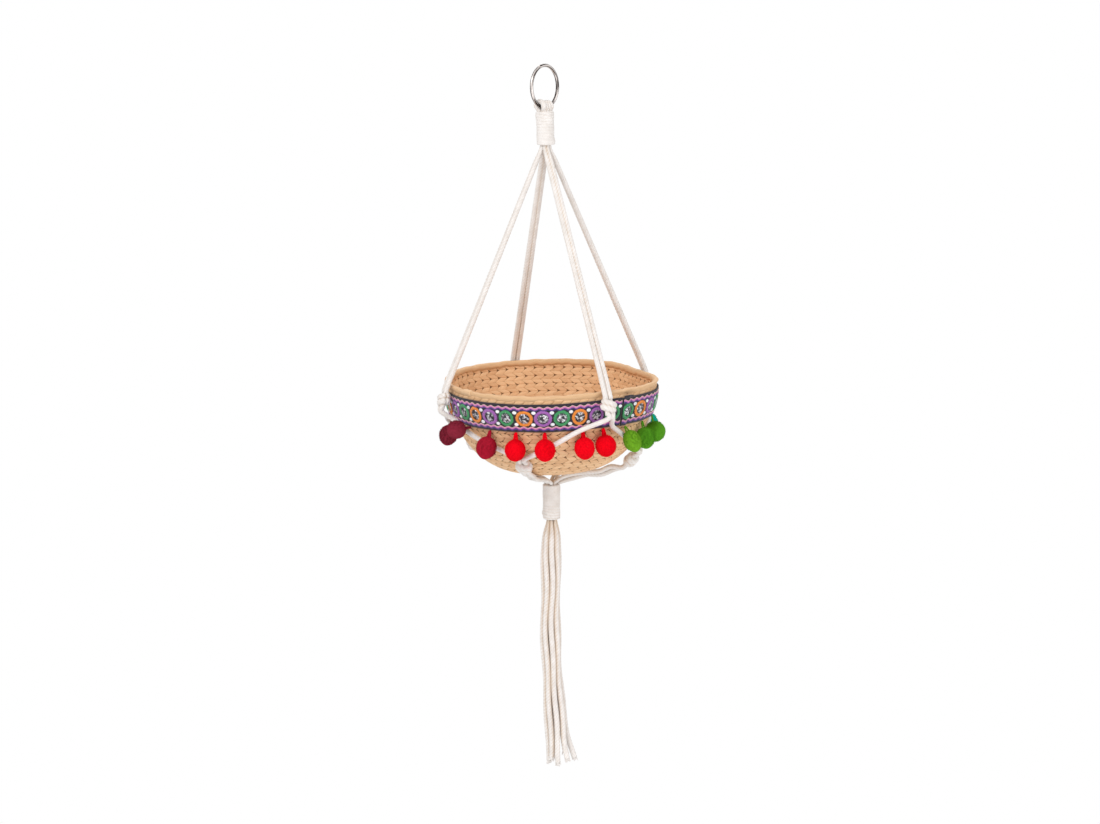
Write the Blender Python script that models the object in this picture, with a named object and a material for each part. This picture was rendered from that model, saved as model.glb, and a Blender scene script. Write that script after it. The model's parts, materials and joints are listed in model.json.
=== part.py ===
# Hanging rope basket: a coiled bowl slung in knotted cords from a steel ring, with a trim
# ribbon, pompoms and a tassel. Metres, +Z up; the origin is the inner top of the ring, where
# a hook bears. Angles round the basket run counter-clockwise from +X, and the front is -Y.
import math

import bmesh
import bpy
import numpy as np
from mathutils import Matrix, Vector

for old in list(bpy.data.objects):
    bpy.data.objects.remove(old, do_unlink=True)

TOUCH = 0.0003                      # gap that touching pieces keep

# Steel ring: an open jump ring, turned about the vertical
RING_INSIDE = 0.034
RING_WIRE = 0.003
RING_SPLIT = 0.0006
RING_TURN = math.radians(52)
RING_SPLIT_AT = math.radians(118)
RING_STEPS = 26
RING_SIDES = 8

# Cords
CORD = 0.0045
CORD_RESOLUTION = 2
CROWN_SIDES = 9
PAIR_SPACING = 0.0042               # two cords of a pair are pressed into one another
SLING_SPACING = 0.0050              # two sling cords are apart where they enter a knot
TIGHT_CORD = 0.0030                 # the same inside the wraps, where all are drawn tight
TIGHT_SPACING = 0.0026
CROWN_SLACK = 0.0008                # the folded cords stay free to swing on the wire
CROWN_PITCH = 0.0027
CROWN_STEPS = 6
PAIR_CLEFT = 0.0002                 # least reach of a pair's cleft from its middle
PAIR_LOBE_ANGLES = tuple(math.radians(a) for a in (-148, -88, -29, 29, 88, 148))

# Whipping of thin cord round the gathered cords
WRAP_CORD = 0.0023
WRAP_PITCH = 0.00272
WRAP_POINTS = 24
WRAP_RESOLUTION = 1
TOP_WRAP_TURNS = 10
BOTTOM_WRAP_TURNS = 11
TOP_WRAP_TOP = -0.0384
BOTTOM_WRAP_TOP = -0.3754
LEAST_WRAP_GAP = 0.0004

# Knots, as wide as two cords drawn into an overhand knot
KNOT_WIDTH = 0.0150
KNOT_DEPTH = 0.0105
KNOT_HEIGHT = 0.0150
KNOT_LEAN = 0.0025                  # a rim knot's top leans in towards the rim
KNOT_SIDES = 12
KNOT_LOBES = 3
KNOT_TWIST = math.radians(150)
KNOT_LOBE_SHARE = 0.09
KNOT_OUTLINE_SHARES = ((-1.0, 0.50), (-0.72, 0.86), (-0.28, 1.0), (0.28, 1.0), (0.72, 0.86), (1.0, 0.50))
RIM_KNOT_Z = -0.2875
LOW_KNOT_Z = -0.3390                # where a lower knot seats on the bowl's wall
LOW_KNOT_DROPS = (0.0, 0.0, 0.0, 0.0035)
LOW_KNOT_STANDS = (0.0, 0.0, 0.0, 0.0030)   # the last one hangs off the wall
KNOT_RUN = 0.0030                   # straight run of a cord where it enters a knot

# Bowl
RIM_TOP = -0.2765
BOWL_RADIUS = 0.1010
BASE_RADIUS = 0.0360
BOWL_BOTTOM = -0.3594
BOWL_WALL = 0.0040
BOWL_STEPS = 40
BOWL_ROWS = 8
WALL_BULGE = 1.15                   # powers of the wall's curve, down and inward
WALL_ROUND = 1.13
DENT_SPREAD = math.radians(26)
SIDE_PRESS = (math.radians(172), 0.0060)    # where the bowl itself is out of round
DENT_PROBE = math.radians(1)
WALL_PROBE = 0.0004

# Legs: name, angle, and how far the leg presses the rim in
LEGS = (
    ("right", math.radians(23), 0.0132),
    ("back", math.radians(108), 0.0020),
    ("left", math.radians(205), 0.0050),
    ("front", math.radians(300), 0.0080),
)
LOW_KNOT_NAMES = ("back_right", "back_left", "front_left", "front_right")
LOW_SEAT_TURN = math.radians(65)    # middle of the first pair in the bottom wrap
SLING_SLACK = 0.0004
SLING_POINTS = 11
CORD_PROBES = 60                    # points of a sling cord that a pompom is kept clear of
SLING_SHARES = {                     # share of the turn and of the drop, by side of the leg
    1: ((0.12, 0.20), (0.26, 0.38), (0.50, 0.64), (0.80, 0.90)),
    -1: ((0.26, 0.21), (0.42, 0.38), (0.62, 0.67), (0.84, 0.92)),
}
CRADLE_WALL_Z = (-0.3515, -0.3560)
CRADLE_FREE = ((0.0340, -0.3630), (0.0220, -0.3656), (0.0120, -0.3690), (0.0066, -0.3722))
CRADLE_WIDTH_SHARES = (1.0, 1.0, 1.0, 1.0, 1.0, 1.0, 0.95, 0.80)
LEG_SHARES = (0.0, 0.045, 0.5)
BAND_EASE = 0.0090                  # run over which a sling cord comes off the band

# Rim binding: a folded strip over the rim
BINDING = 0.0008
BINDING_OUTER = 0.0062
BINDING_INNER = 0.0075
BINDING_EASE = 0.00023              # keeps the strip's lower edges off the wall

# Trim ribbon round the outside, with its start lapped over its end
BAND_TOP = -0.2830
BAND_HEIGHT = 0.0254
BAND_THICK = 0.0010
BAND_LAP_AT = math.radians(312.5)
BAND_LAP = math.radians(4.5)
BAND_RAMP = math.radians(1)
BAND_ROWS = 3
MIRROR = 0.0080
MIRROR_THICK = 0.0005
MIRROR_SINK = 0.8                   # share of the ribbon's thickness that a mirror sinks in
MIRROR_COUNT = 37
MIRROR_START = 0.31                 # pitches from the lap's edge to the first mirror
MIRROR_PROBES = 720
MIRROR_SIDES = 6

# Pompoms: a felt ball on a short loop of yarn
BALL = 0.0180
BALL_STRETCH = 1.04
BALL_SEGMENTS = 8
BALL_RINGS = 6
YARN = 0.0012
LOOP_WIDTH = 0.0026
LOOP_LENGTH = 0.0046
LOOP_SHARES = ((-0.9, 1.3), (-1.0, 0.5), (0.0, 0.0), (1.0, 0.5), (0.9, 1.3))
YARN_SIDES = 4
POMPOM_ANGLES = tuple(math.radians(a) for a in (
    12, 25, 45, 61, 78, 98, 111, 126, 137, 148,
    193, 220.5, 236, 251.5, 267, 288, 301, 315.5, 331, 349,
))
POMPOM_LEANS = {12: math.radians(90)}    # one ball lies up over the sling cord
HANG_STEP = math.radians(1)

# Tassel: height, distance of the strands from its middle, drift of the middle, and twist
STRAND_TIP = 0.0022
STRAND_TIP_SHARES = (0.35, 0.80)
TASSEL_LEVELS = (
    (-0.428, 0.0068, -0.0006, 0.12), (-0.470, 0.0072, -0.0020, 0.24), (-0.520, 0.0075, -0.0028, 0.17),
    (-0.570, 0.0076, -0.0014, 0.24), (-0.610, 0.0080, 0.0004, 0.18), (-0.634, 0.0086, 0.0018, 0.12),
)
STRAND_FLARES = (0.0036, 0.0012, 0.0002, 0.0004, 0.0002, 0.0010, 0.0038, 0.0070)
STRAND_DROPS = (0.0000, 0.0035, -0.0020, 0.0050, 0.0000, 0.0045, 0.0010, 0.0030)
FLARE_SHARES = (0.0, 0.0, 0.0, 0.08, 0.45, 1.0)
DROP_SHARES = (0.0, 0.0, 0.0, 0.0, 0.4, 1.0)
STRAND_POINTS = 9

# Sizes worked out from those above
ring_mean = (RING_INSIDE + RING_WIRE) / 2
ring_centre_z = -RING_INSIDE / 2
quarter = math.pi / 2
pair_ratio = (TIGHT_CORD + TOUCH) / TIGHT_SPACING
seat_half_angle = math.atan(math.sin(quarter / 2) / (pair_ratio + math.cos(quarter / 2)))
seat_radius = TIGHT_SPACING / 2 / math.sin(seat_half_angle)
bundle_radius = seat_radius + TIGHT_CORD / 2
wrap_radius = bundle_radius + TOUCH + WRAP_CORD / 2
top_wrap_bottom = TOP_WRAP_TOP - TOP_WRAP_TURNS * WRAP_PITCH - WRAP_CORD
bottom_wrap_bottom = BOTTOM_WRAP_TOP - BOTTOM_WRAP_TURNS * WRAP_PITCH - WRAP_CORD
cradle_seat_z = BOTTOM_WRAP_TOP + WRAP_CORD / 4
pair_half = PAIR_SPACING / 2
sling_half = SLING_SPACING / 2
bowl_top = RIM_TOP - BINDING - TOUCH
bowl_depth = RIM_TOP - BOWL_BOTTOM
floor_z = BOWL_BOTTOM + BOWL_WALL
band_bottom = BAND_TOP - BAND_HEIGHT
trim_stack = TOUCH + BAND_THICK + MIRROR_THICK


# Placing: points round the axis, and the bowl's wall
def polar(angle, radius, z):
    return Vector((radius * math.cos(angle), radius * math.sin(angle), z))


def turn_between(start, end):
    return (end - start + math.pi) % (2 * math.pi) - math.pi


def dent(angle):
    presses = [(leg, press) for _, leg, press in LEGS] + [SIDE_PRESS]
    return sum(press * math.exp(-(turn_between(at, angle) / DENT_SPREAD) ** 2) for at, press in presses)


def wall_radius(angle, z, inset=0.0):
    depth = bowl_depth - inset
    share = min(1.0, max(0.0, (RIM_TOP - z) / depth))
    lift = math.asin(share ** (1 / WALL_BULGE))
    base = BASE_RADIUS - inset
    plain = base + (BOWL_RADIUS - inset - base) * math.cos(lift) ** WALL_ROUND
    return plain - dent(angle) * (1 - share)


def wall_point(angle, z):
    return polar(angle, wall_radius(angle, z), z)


def wall_frame(angle, z):
    """Along the wall, out of it and up it, at one place."""
    along = (wall_point(angle + DENT_PROBE, z) - wall_point(angle - DENT_PROBE, z)).normalized()
    up = (wall_point(angle, z + WALL_PROBE) - wall_point(angle, z - WALL_PROBE)).normalized()
    out = along.cross(up).normalized()
    return along, out, up


def off_wall(angle, z, distance):
    return wall_point(angle, z) + wall_frame(angle, z)[1] * distance


def smooth(points, count):
    """Points evenly spread in turn along a Catmull-Rom curve through the given ones."""
    given = [np.array(p) for p in points]
    given = [2 * given[0] - given[1]] + given + [2 * given[-1] - given[-2]]
    spans = len(given) - 3
    out = []
    for at in np.linspace(0, spans, count):
        k = min(int(at), spans - 1)
        t = at - k
        a, b, c, d = given[k:k + 4]
        out.append(((2 * b) + (c - a) * t + (2 * a - 5 * b + 4 * c - d) * t ** 2
                    + (3 * b - a - 3 * c + d) * t ** 3) / 2)
    return [Vector(p) for p in out]


# Making: materials, meshes and tubes
def finish_of(name, colour, roughness, metallic=0.0):
    material = bpy.data.materials.new(name)
    material.use_nodes = True
    shader = material.node_tree.nodes["Principled BSDF"]
    shader.inputs["Base Color"].default_value = (*colour, 1.0)
    shader.inputs["Roughness"].default_value = roughness
    shader.inputs["Metallic"].default_value = metallic
    return material


def add_object(name, data, finish):
    piece = bpy.data.objects.new(name, data)
    data.materials.append(finish_of(name, *finish))
    bpy.context.scene.collection.objects.link(piece)
    return piece


def add_mesh(name, shape, finish, origin=None):
    bmesh.ops.recalc_face_normals(shape, faces=shape.faces)
    if origin is not None:
        bmesh.ops.translate(shape, verts=shape.verts, vec=-origin)
    mesh = bpy.data.meshes.new(name)
    shape.to_mesh(mesh)
    shape.free()
    mesh.shade_smooth()
    piece = add_object(name, mesh, finish)
    if origin is not None:
        piece.location = origin
    return piece


def skin(shape, sections, closed=False):
    """Quads between neighbouring sections, with both ends capped unless the sweep closes."""
    rings = [[shape.verts.new(p) for p in section] for section in sections]
    following = rings[1:] + rings[:1] if closed else rings[1:]
    for near, far in zip(rings, following):
        for i in range(len(near)):
            j = (i + 1) % len(near)
            shape.faces.new((near[i], near[j], far[j], far[i]))
    if not closed:
        shape.faces.new(rings[0][::-1])
        shape.faces.new(rings[-1])


def add_tube(name, points, widths, diameter, resolution, finish, origin=None):
    """A curve object with a round bevel; each point has its width as a share of the diameter."""
    curve = bpy.data.curves.new(name, "CURVE")
    curve.dimensions = "3D"
    curve.bevel_depth = diameter / 2
    curve.bevel_resolution = resolution
    curve.use_fill_caps = True
    shift = origin if origin is not None else Vector((0.0, 0.0, 0.0))
    spline = curve.splines.new("POLY")
    spline.points.add(len(points) - 1)
    for knot, point, width in zip(spline.points, points, widths):
        knot.co = (*(point - shift), 1.0)
        knot.radius = width
    piece = add_object(name, curve, finish)
    piece.location = shift
    return piece


def way_at(points, i):
    return (points[min(i + 1, len(points) - 1)] - points[max(i - 1, 0)]).normalized()


def round_sections(points, diameter, sides):
    """Round sections square to a path, carried along it without twisting."""
    sections = []
    side = way_at(points, 0).orthogonal().normalized()
    for i, point in enumerate(points):
        way = way_at(points, i)
        side = (side - way * side.dot(way)).normalized()
        lift = way.cross(side)
        turns = [2 * math.pi * k / sides for k in range(sides)]
        sections.append([point + (side * math.cos(a) + lift * math.sin(a)) * (diameter / 2) for a in turns])
    return sections


def pair_sections(left, right, diameters):
    """Two-lobed sections of a pair of cords that lie side by side."""
    sections = []
    for i, (a, b, diameter) in enumerate(zip(left, right, diameters)):
        way = (way_at(left, i) + way_at(right, i)).normalized()
        across = (b - a).normalized()
        lift = way.cross(across).normalized()
        middle, half = (a + b) / 2, (b - a).length / 2
        lobe = [across * max(PAIR_CLEFT, half + math.cos(t) * diameter / 2) + lift * (math.sin(t) * diameter / 2)
                for t in PAIR_LOBE_ANGLES]
        sections.append([middle + p for p in lobe] + [middle - p for p in lobe])
    return sections


def join(piece, name, shape):
    """Unite a piece with a shape that stays hidden beside it."""
    bmesh.ops.recalc_face_normals(shape, faces=shape.faces)
    mesh = bpy.data.meshes.new(name)
    shape.to_mesh(mesh)
    shape.free()
    helper = bpy.data.objects.new(name, mesh)
    helper.hide_render = True
    helper.display_type = "WIRE"
    bpy.context.scene.collection.objects.link(helper)
    union = piece.modifiers.new(name, "BOOLEAN")
    union.operation = "UNION"
    union.object = helper


COTTON = ((0.86, 0.79, 0.74), 0.9)
STRAW = ((0.66, 0.42, 0.22), 0.75)
STEEL = ((0.60, 0.56, 0.54), 0.25, 1.0)


# Steel ring
def make_ring():
    shape = bmesh.new()
    made = bmesh.ops.create_circle(shape, segments=RING_SIDES, radius=RING_WIRE / 2)
    bmesh.ops.translate(shape, verts=made["verts"], vec=(ring_mean, 0.0, 0.0))
    sweep = 2 * math.pi - RING_SPLIT / ring_mean
    bmesh.ops.spin(shape, geom=shape.verts[:] + shape.edges[:], cent=(0, 0, 0), axis=(0, -1, 0),
                   angle=sweep, steps=RING_STEPS)
    bmesh.ops.holes_fill(shape, edges=[e for e in shape.edges if e.is_boundary])
    start = RING_SPLIT_AT + RING_SPLIT / ring_mean / 2
    place = (Matrix.Translation((0.0, 0.0, ring_centre_z)) @ Matrix.Rotation(RING_TURN, 4, "Z")
             @ Matrix.Rotation(-start, 4, "Y"))
    bmesh.ops.transform(shape, matrix=place, verts=shape.verts)
    add_mesh("hanging_ring", shape, STEEL)


# Cords folded over the ring, down through the top wrap
def seat(pair_turn, pair, side, z):
    """A cord's place in a wrap: four pairs round the middle, each with a cord on either side."""
    return polar(pair_turn + pair * quarter + side * seat_half_angle, seat_radius, z)


top_seat_turn = RING_TURN + quarter / 2


def crown_fold(fold):
    along = Vector((math.cos(RING_TURN), math.sin(RING_TURN), 0.0))
    across = Vector((-math.sin(RING_TURN), math.cos(RING_TURN), 0.0))
    reach = RING_WIRE / 2 + CROWN_SLACK + TIGHT_CORD / 2
    offset = (1.5 - fold) * CROWN_PITCH
    wire_z = ring_centre_z - math.sqrt(ring_mean ** 2 - offset ** 2)
    over = []
    for step in range(CROWN_STEPS + 1):
        angle = math.pi * step / CROWN_STEPS
        over.append(along * offset + across * (reach * math.cos(angle))
                    + Vector((0.0, 0.0, wire_z + reach * math.sin(angle))))
    pair, side = divmod(fold, 2)
    near, far = (pair, 2 * side - 1), (3 - pair, 1 - 2 * side)
    return ([seat(top_seat_turn, *near, z) for z in (top_wrap_bottom, TOP_WRAP_TOP)] + over
            + [seat(top_seat_turn, *far, z) for z in (TOP_WRAP_TOP, top_wrap_bottom)])


def make_crown():
    first = bmesh.new()
    skin(first, round_sections(crown_fold(0), TIGHT_CORD, CROWN_SIDES))
    crown = add_mesh("crown_loops", first, COTTON)
    for fold in range(1, 4):
        shape = bmesh.new()
        skin(shape, round_sections(crown_fold(fold), TIGHT_CORD, CROWN_SIDES))
        join(crown, f"crown_fold_{fold}", shape)


# Whipping: one unbroken winding, its two ends running straight
def winding_points(top, turns):
    points = []
    for step in range(turns * WRAP_POINTS + 1):
        angle = 2 * math.pi * step / WRAP_POINTS
        points.append(polar(angle, wrap_radius, top - WRAP_CORD / 2 - WRAP_PITCH * step / WRAP_POINTS))
    first, last = points[0], points[-1]
    lead = (first - points[1]).normalized() * WRAP_CORD
    tail = (last - points[-2]).normalized() * WRAP_CORD
    return [first + lead] + points + [last + tail]


def make_wrap(name, top, turns):
    points = winding_points(top, turns)
    places = np.array(points)
    half_turn = WRAP_POINTS // 2
    least = min(np.linalg.norm(places[i + half_turn:] - places[i], axis=1).min()
                for i in range(len(places) - half_turn)) - WRAP_CORD
    print(f"{name}: {turns} turns, least gap to itself {least * 1000:.2f} mm")
    assert least > LEAST_WRAP_GAP
    add_tube(name, points, [1.0] * len(points), WRAP_CORD, WRAP_RESOLUTION, COTTON)


# Knots: two cords drawn into an overhand knot, as a twisted three-lobed body
def make_knot(name, centre, along, out, up, lean=0.0):
    shape = bmesh.new()
    sections = []
    for height, width in KNOT_OUTLINE_SHARES:
        section = []
        for side in range(KNOT_SIDES):
            angle = 2 * math.pi * side / KNOT_SIDES
            lobe = 1 - KNOT_LOBE_SHARE * (1 - math.cos(KNOT_LOBES * angle + KNOT_TWIST * height))
            section.append(centre + along * (math.cos(angle) * KNOT_WIDTH / 2 * width * lobe)
                           + out * (math.sin(angle) * KNOT_DEPTH / 2 * width * lobe - lean * height)
                           + up * (height * KNOT_HEIGHT / 2))
        sections.append(section)
    skin(shape, sections)
    add_mesh(name, shape, COTTON)


def rim_knot_frame(angle):
    along, out, _ = wall_frame(angle, RIM_KNOT_Z)
    up = Vector((0.0, 0.0, 1.0))
    out = along.cross(up).normalized()
    along = up.cross(out)
    reach = trim_stack + TOUCH + KNOT_DEPTH / 2 + KNOT_LEAN / 2
    return wall_point(angle, RIM_KNOT_Z) + out * reach, along, out, up


def low_knot_frame(place):
    angle, z = low_knot_angle(place), LOW_KNOT_Z - LOW_KNOT_DROPS[place]
    along, out, up = wall_frame(angle, z)
    return off_wall(angle, z, TOUCH + KNOT_DEPTH / 2 + LOW_KNOT_STANDS[place]), along, out, up


def low_knot_angle(place):
    start, end = LEGS[place][1], LEGS[(place + 1) % len(LEGS)][1]
    return start + turn_between(start, end) / 2


# Legs: a pair of cords from the top wrap to each rim knot
def make_leg(place):
    name, angle, _ = LEGS[place]
    centre, along, out, up = rim_knot_frame(angle)
    knot_top = centre - out * KNOT_LEAN + up * (KNOT_HEIGHT / 2 + TOUCH)
    cords = []
    for side in (-1, 1):
        top = seat(top_seat_turn, place - 1, side, top_wrap_bottom - TOUCH)
        bend = seat(top_seat_turn, place - 1, side, top_wrap_bottom - TOUCH - TIGHT_CORD)
        end = knot_top + along * (side * pair_half)
        above = end + up * KNOT_RUN
        cords.append([top] + [bend.lerp(above, share) for share in LEG_SHARES] + [above, end])
    shape = bmesh.new()
    skin(shape, pair_sections(*cords, [TIGHT_CORD, TIGHT_CORD, CORD, CORD, CORD, CORD]))
    add_mesh(f"leg_{name}", shape, COTTON)


# Slings: the two cords of a rim knot part and run down the wall to the lower knots
def sling_points(leg, low, side):
    centre, along, out, up = rim_knot_frame(LEGS[leg][1])
    start = centre + out * KNOT_LEAN - up * (KNOT_HEIGHT / 2 + TOUCH) + along * (side * sling_half)
    low_angle = low_knot_angle(low)
    low_centre, low_along, _, low_up = low_knot_frame(low)
    end = low_centre + low_up * (KNOT_HEIGHT / 2 + TOUCH) - low_along * (side * sling_half)
    from_angle, from_z = LEGS[leg][1], start.z - KNOT_RUN
    to_angle, to_z = low_angle, LOW_KNOT_Z - LOW_KNOT_DROPS[low] + KNOT_HEIGHT / 2
    route = [start - up * KNOT_RUN]
    for turn_share, drop_share in SLING_SHARES[side]:
        angle = from_angle + turn_between(from_angle, to_angle) * turn_share
        z = from_z + (to_z - from_z) * drop_share
        on_band = min(1.0, max(0.0, (z - band_bottom) / BAND_EASE + 1))
        route.append(off_wall(angle, z, CORD / 2 + TOUCH + SLING_SLACK + trim_stack * on_band))
    route.append(end + low_up * KNOT_RUN)
    return [start] + smooth(route, SLING_POINTS) + [end]


def make_slings(low):
    sides = ((low, 1, "left"), ((low + 1) % len(LEGS), -1, "right"))
    cords = []
    for leg, side, hand in sides:
        points = sling_points(leg, low, side)
        add_tube(f"sling_{LOW_KNOT_NAMES[low]}_{hand}", points, [1.0] * len(points), CORD, CORD_RESOLUTION, COTTON)
        cords += smooth(points, CORD_PROBES)
    return cords


# Cradle: pairs of cords run under the bowl and down through the bottom wrap
def make_cradle(low):
    angle = low_knot_angle(low)
    centre, along, _, up = low_knot_frame(low)
    cords = []
    for side in (-1, 1):
        start = centre - up * (KNOT_HEIGHT / 2 + TOUCH) + along * (side * pair_half)
        route = [start, start - up * KNOT_RUN]
        for z in CRADLE_WALL_Z:
            lower = z - LOW_KNOT_DROPS[low] / 2
            route.append(off_wall(angle, lower, CORD / 2 + TOUCH + SLING_SLACK) + along * (side * pair_half))
        for radius, z in CRADLE_FREE:
            route.append(polar(angle, radius, z) + along * (side * pair_half))
        inside = seat(LOW_SEAT_TURN, low, side, cradle_seat_z)
        cords.append(route + [inside, seat(LOW_SEAT_TURN, low, side, bottom_wrap_bottom)])
    shape = bmesh.new()
    diameters = [CORD * share for share in CRADLE_WIDTH_SHARES] + [TIGHT_CORD, TIGHT_CORD]
    skin(shape, pair_sections(*cords, diameters))
    add_mesh(f"cradle_{LOW_KNOT_NAMES[low]}", shape, COTTON)


# Bowl: a turned shell, drawn in where the legs press on its rim
def wall_profile(inset):
    depth, base = bowl_depth - inset, BASE_RADIUS - inset
    first = math.asin(((RIM_TOP - bowl_top) / depth) ** (1 / WALL_BULGE))
    rows = []
    for row in range(BOWL_ROWS + 1):
        lift = first + (quarter - first) * row / BOWL_ROWS
        rows.append((base + (BOWL_RADIUS - inset - base) * math.cos(lift) ** WALL_ROUND,
                     RIM_TOP - depth * math.sin(lift) ** WALL_BULGE))
    return rows


def press_in(shape):
    for vert in shape.verts:
        angle = math.atan2(vert.co.y, vert.co.x)
        share = min(1.0, max(0.0, (RIM_TOP - vert.co.z) / bowl_depth))
        radius = math.hypot(vert.co.x, vert.co.y)
        if radius > BASE_RADIUS - BOWL_WALL - TOUCH:
            vert.co = polar(angle, radius - dent(angle) * (1 - share), vert.co.z)


def revolve(profile, closed):
    shape = bmesh.new()
    verts = [shape.verts.new(polar(BAND_LAP_AT, radius, z)) for radius, z in profile]
    following = verts[1:] + verts[:1] if closed else verts[1:]
    edges = [shape.edges.new(pair) for pair in zip(verts, following)]
    bmesh.ops.spin(shape, geom=verts + edges, cent=(0, 0, 0), axis=(0, 0, 1),
                   angle=2 * math.pi, steps=BOWL_STEPS, use_merge=True)
    bmesh.ops.remove_doubles(shape, verts=shape.verts, dist=TOUCH / 10)
    press_in(shape)
    return shape


def make_bowl():
    outer, inner = wall_profile(0.0), wall_profile(BOWL_WALL)
    profile = [(0.0, BOWL_BOTTOM)] + outer[::-1] + inner + [(0.0, floor_z)]
    add_mesh("woven_bowl", revolve(profile, closed=False), STRAW)


def make_binding():
    inner_side = BOWL_RADIUS - BOWL_WALL
    under = bowl_top - TOUCH
    pressed = dent(0.0) * (1 - BINDING_OUTER / bowl_depth)
    slope_out = BOWL_RADIUS + BINDING_EASE - wall_radius(0.0, RIM_TOP - BINDING_OUTER) - pressed
    slope_in = slope_out * BINDING_INNER / BINDING_OUTER
    profile = [
        (BOWL_RADIUS + TOUCH + BINDING, under),
        (BOWL_RADIUS + TOUCH + BINDING - slope_out / 2, RIM_TOP - BINDING_OUTER),
        (BOWL_RADIUS + TOUCH - slope_out / 2, RIM_TOP - BINDING_OUTER),
        (BOWL_RADIUS + TOUCH, bowl_top + TOUCH),
        (inner_side - TOUCH, bowl_top + TOUCH),
        (inner_side - TOUCH - slope_in, RIM_TOP - BINDING_INNER),
        (inner_side - TOUCH - BINDING - slope_in, RIM_TOP - BINDING_INNER),
        (inner_side - TOUCH - BINDING, under),
        (inner_side, RIM_TOP),
        (BOWL_RADIUS, RIM_TOP),
    ]
    add_mesh("rim_binding", revolve(profile, closed=True), STRAW)


# Trim ribbon: one strip round the wall, its start lapped over its end
def make_band():
    full = 2 * math.pi
    over = BAND_THICK + TOUCH
    places = [(0.0, over), (BAND_LAP + BAND_RAMP / 2, over), (BAND_LAP + BAND_RAMP * 2, 0.0)]
    places += [(full * step / BOWL_STEPS, 0.0) for step in range(1, BOWL_STEPS + 1)] + [(full + BAND_LAP, 0.0)]
    heights = [band_bottom + BAND_HEIGHT * row / BAND_ROWS for row in range(BAND_ROWS + 1)]
    shape = bmesh.new()
    sections = []
    for turn, lift in places:
        angle = BAND_LAP_AT + turn
        back = [off_wall(angle, z, TOUCH + lift) for z in heights]
        face = [off_wall(angle, z, TOUCH + lift + BAND_THICK) for z in heights]
        sections.append(back + face[::-1])
    skin(shape, sections)
    band = add_mesh("trim_band", shape, ((0.03, 0.02, 0.05), 0.8))
    join(band, "mirror_discs", mirror_shapes())


def lap_lift(angle):
    return BAND_THICK + TOUCH if 0.0 <= angle - BAND_LAP_AT < BAND_LAP else 0.0


def mirror_shapes():
    """Round mirrors sewn on the ribbon, sunk a little into its face."""
    shape = bmesh.new()
    middle = BAND_TOP - BAND_HEIGHT / 2
    turns = [BAND_LAP_AT + 2 * math.pi * step / MIRROR_PROBES for step in range(MIRROR_PROBES + 1)]
    run = [0.0]
    for start, end in zip(turns, turns[1:]):
        run.append(run[-1] + (off_wall(end, middle, TOUCH) - off_wall(start, middle, TOUCH)).length)
    for place in range(MIRROR_COUNT):
        goal = run[-1] * (place + MIRROR_START) / MIRROR_COUNT
        angle = next(turn for turn, so_far in zip(turns, run) if so_far >= goal)
        along, out, up = wall_frame(angle, middle)
        back = off_wall(angle, middle, TOUCH + BAND_THICK * (1 - MIRROR_SINK) + lap_lift(angle))
        disc = []
        for side in range(MIRROR_SIDES):
            turn = 2 * math.pi * side / MIRROR_SIDES
            disc.append(back + (along * math.cos(turn) + up * math.sin(turn)) * (MIRROR / 2))
        skin(shape, [disc, [p + out * (BAND_THICK * MIRROR_SINK + MIRROR_THICK) for p in disc]])
    return shape


# Pompoms: each hangs from the ribbon's lower edge and rests on the wall or on a sling cord
def pompom_colour(angle):
    stops = ((0, (0.00, 0.42, 0.30)), (24, (0.00, 0.45, 0.55)), (70, (0.02, 0.12, 0.55)),
             (120, (0.22, 0.05, 0.45)), (160, (0.30, 0.02, 0.16)), (200, (0.24, 0.02, 0.04)),
             (232, (0.40, 0.01, 0.03)), (248, (0.90, 0.00, 0.02)), (304, (0.90, 0.00, 0.02)),
             (314, (0.22, 0.42, 0.03)), (340, (0.08, 0.36, 0.04)), (360, (0.00, 0.42, 0.30)))
    at = math.degrees(angle) % 360
    for (low, a), (high, b) in zip(stops, stops[1:]):
        if low <= at <= high:
            share = (at - low) / (high - low)
            return tuple(x + (y - x) * share for x, y in zip(a, b))


def hang_pompom(angle, lean, obstacles):
    """The hinge point, its axis, and the way down to the ball at the least lean that clears."""
    along, out, _ = wall_frame(angle, band_bottom)
    axis = Vector((along.x, along.y, 0.0)).normalized()
    level_out = axis.cross(Vector((0.0, 0.0, 1.0)))
    hinge = off_wall(angle, band_bottom, TOUCH + BAND_THICK / 2 + lap_lift(angle))
    edge = off_wall(angle, band_bottom, TOUCH + BAND_THICK + lap_lift(angle))
    hinge.z = edge.z - TOUCH - YARN / 2
    ball_drop = LOOP_LENGTH + YARN / 2 + TOUCH + BALL * BALL_STRETCH / 2
    while True:
        down = level_out * math.sin(lean) - Vector((0.0, 0.0, math.cos(lean)))
        ball = hinge + down * ball_drop
        clear = min((ball - point).length - reach for point, reach in obstacles)
        if clear > BALL * BALL_STRETCH / 2 + TOUCH:
            return hinge, axis, down, ball
        lean += HANG_STEP


def wall_points_near(angle):
    spread = math.radians(2)
    return [wall_point(angle + spread * i, band_bottom - BALL * j / 8) for i in range(-3, 4) for j in range(2, 15)]


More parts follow.
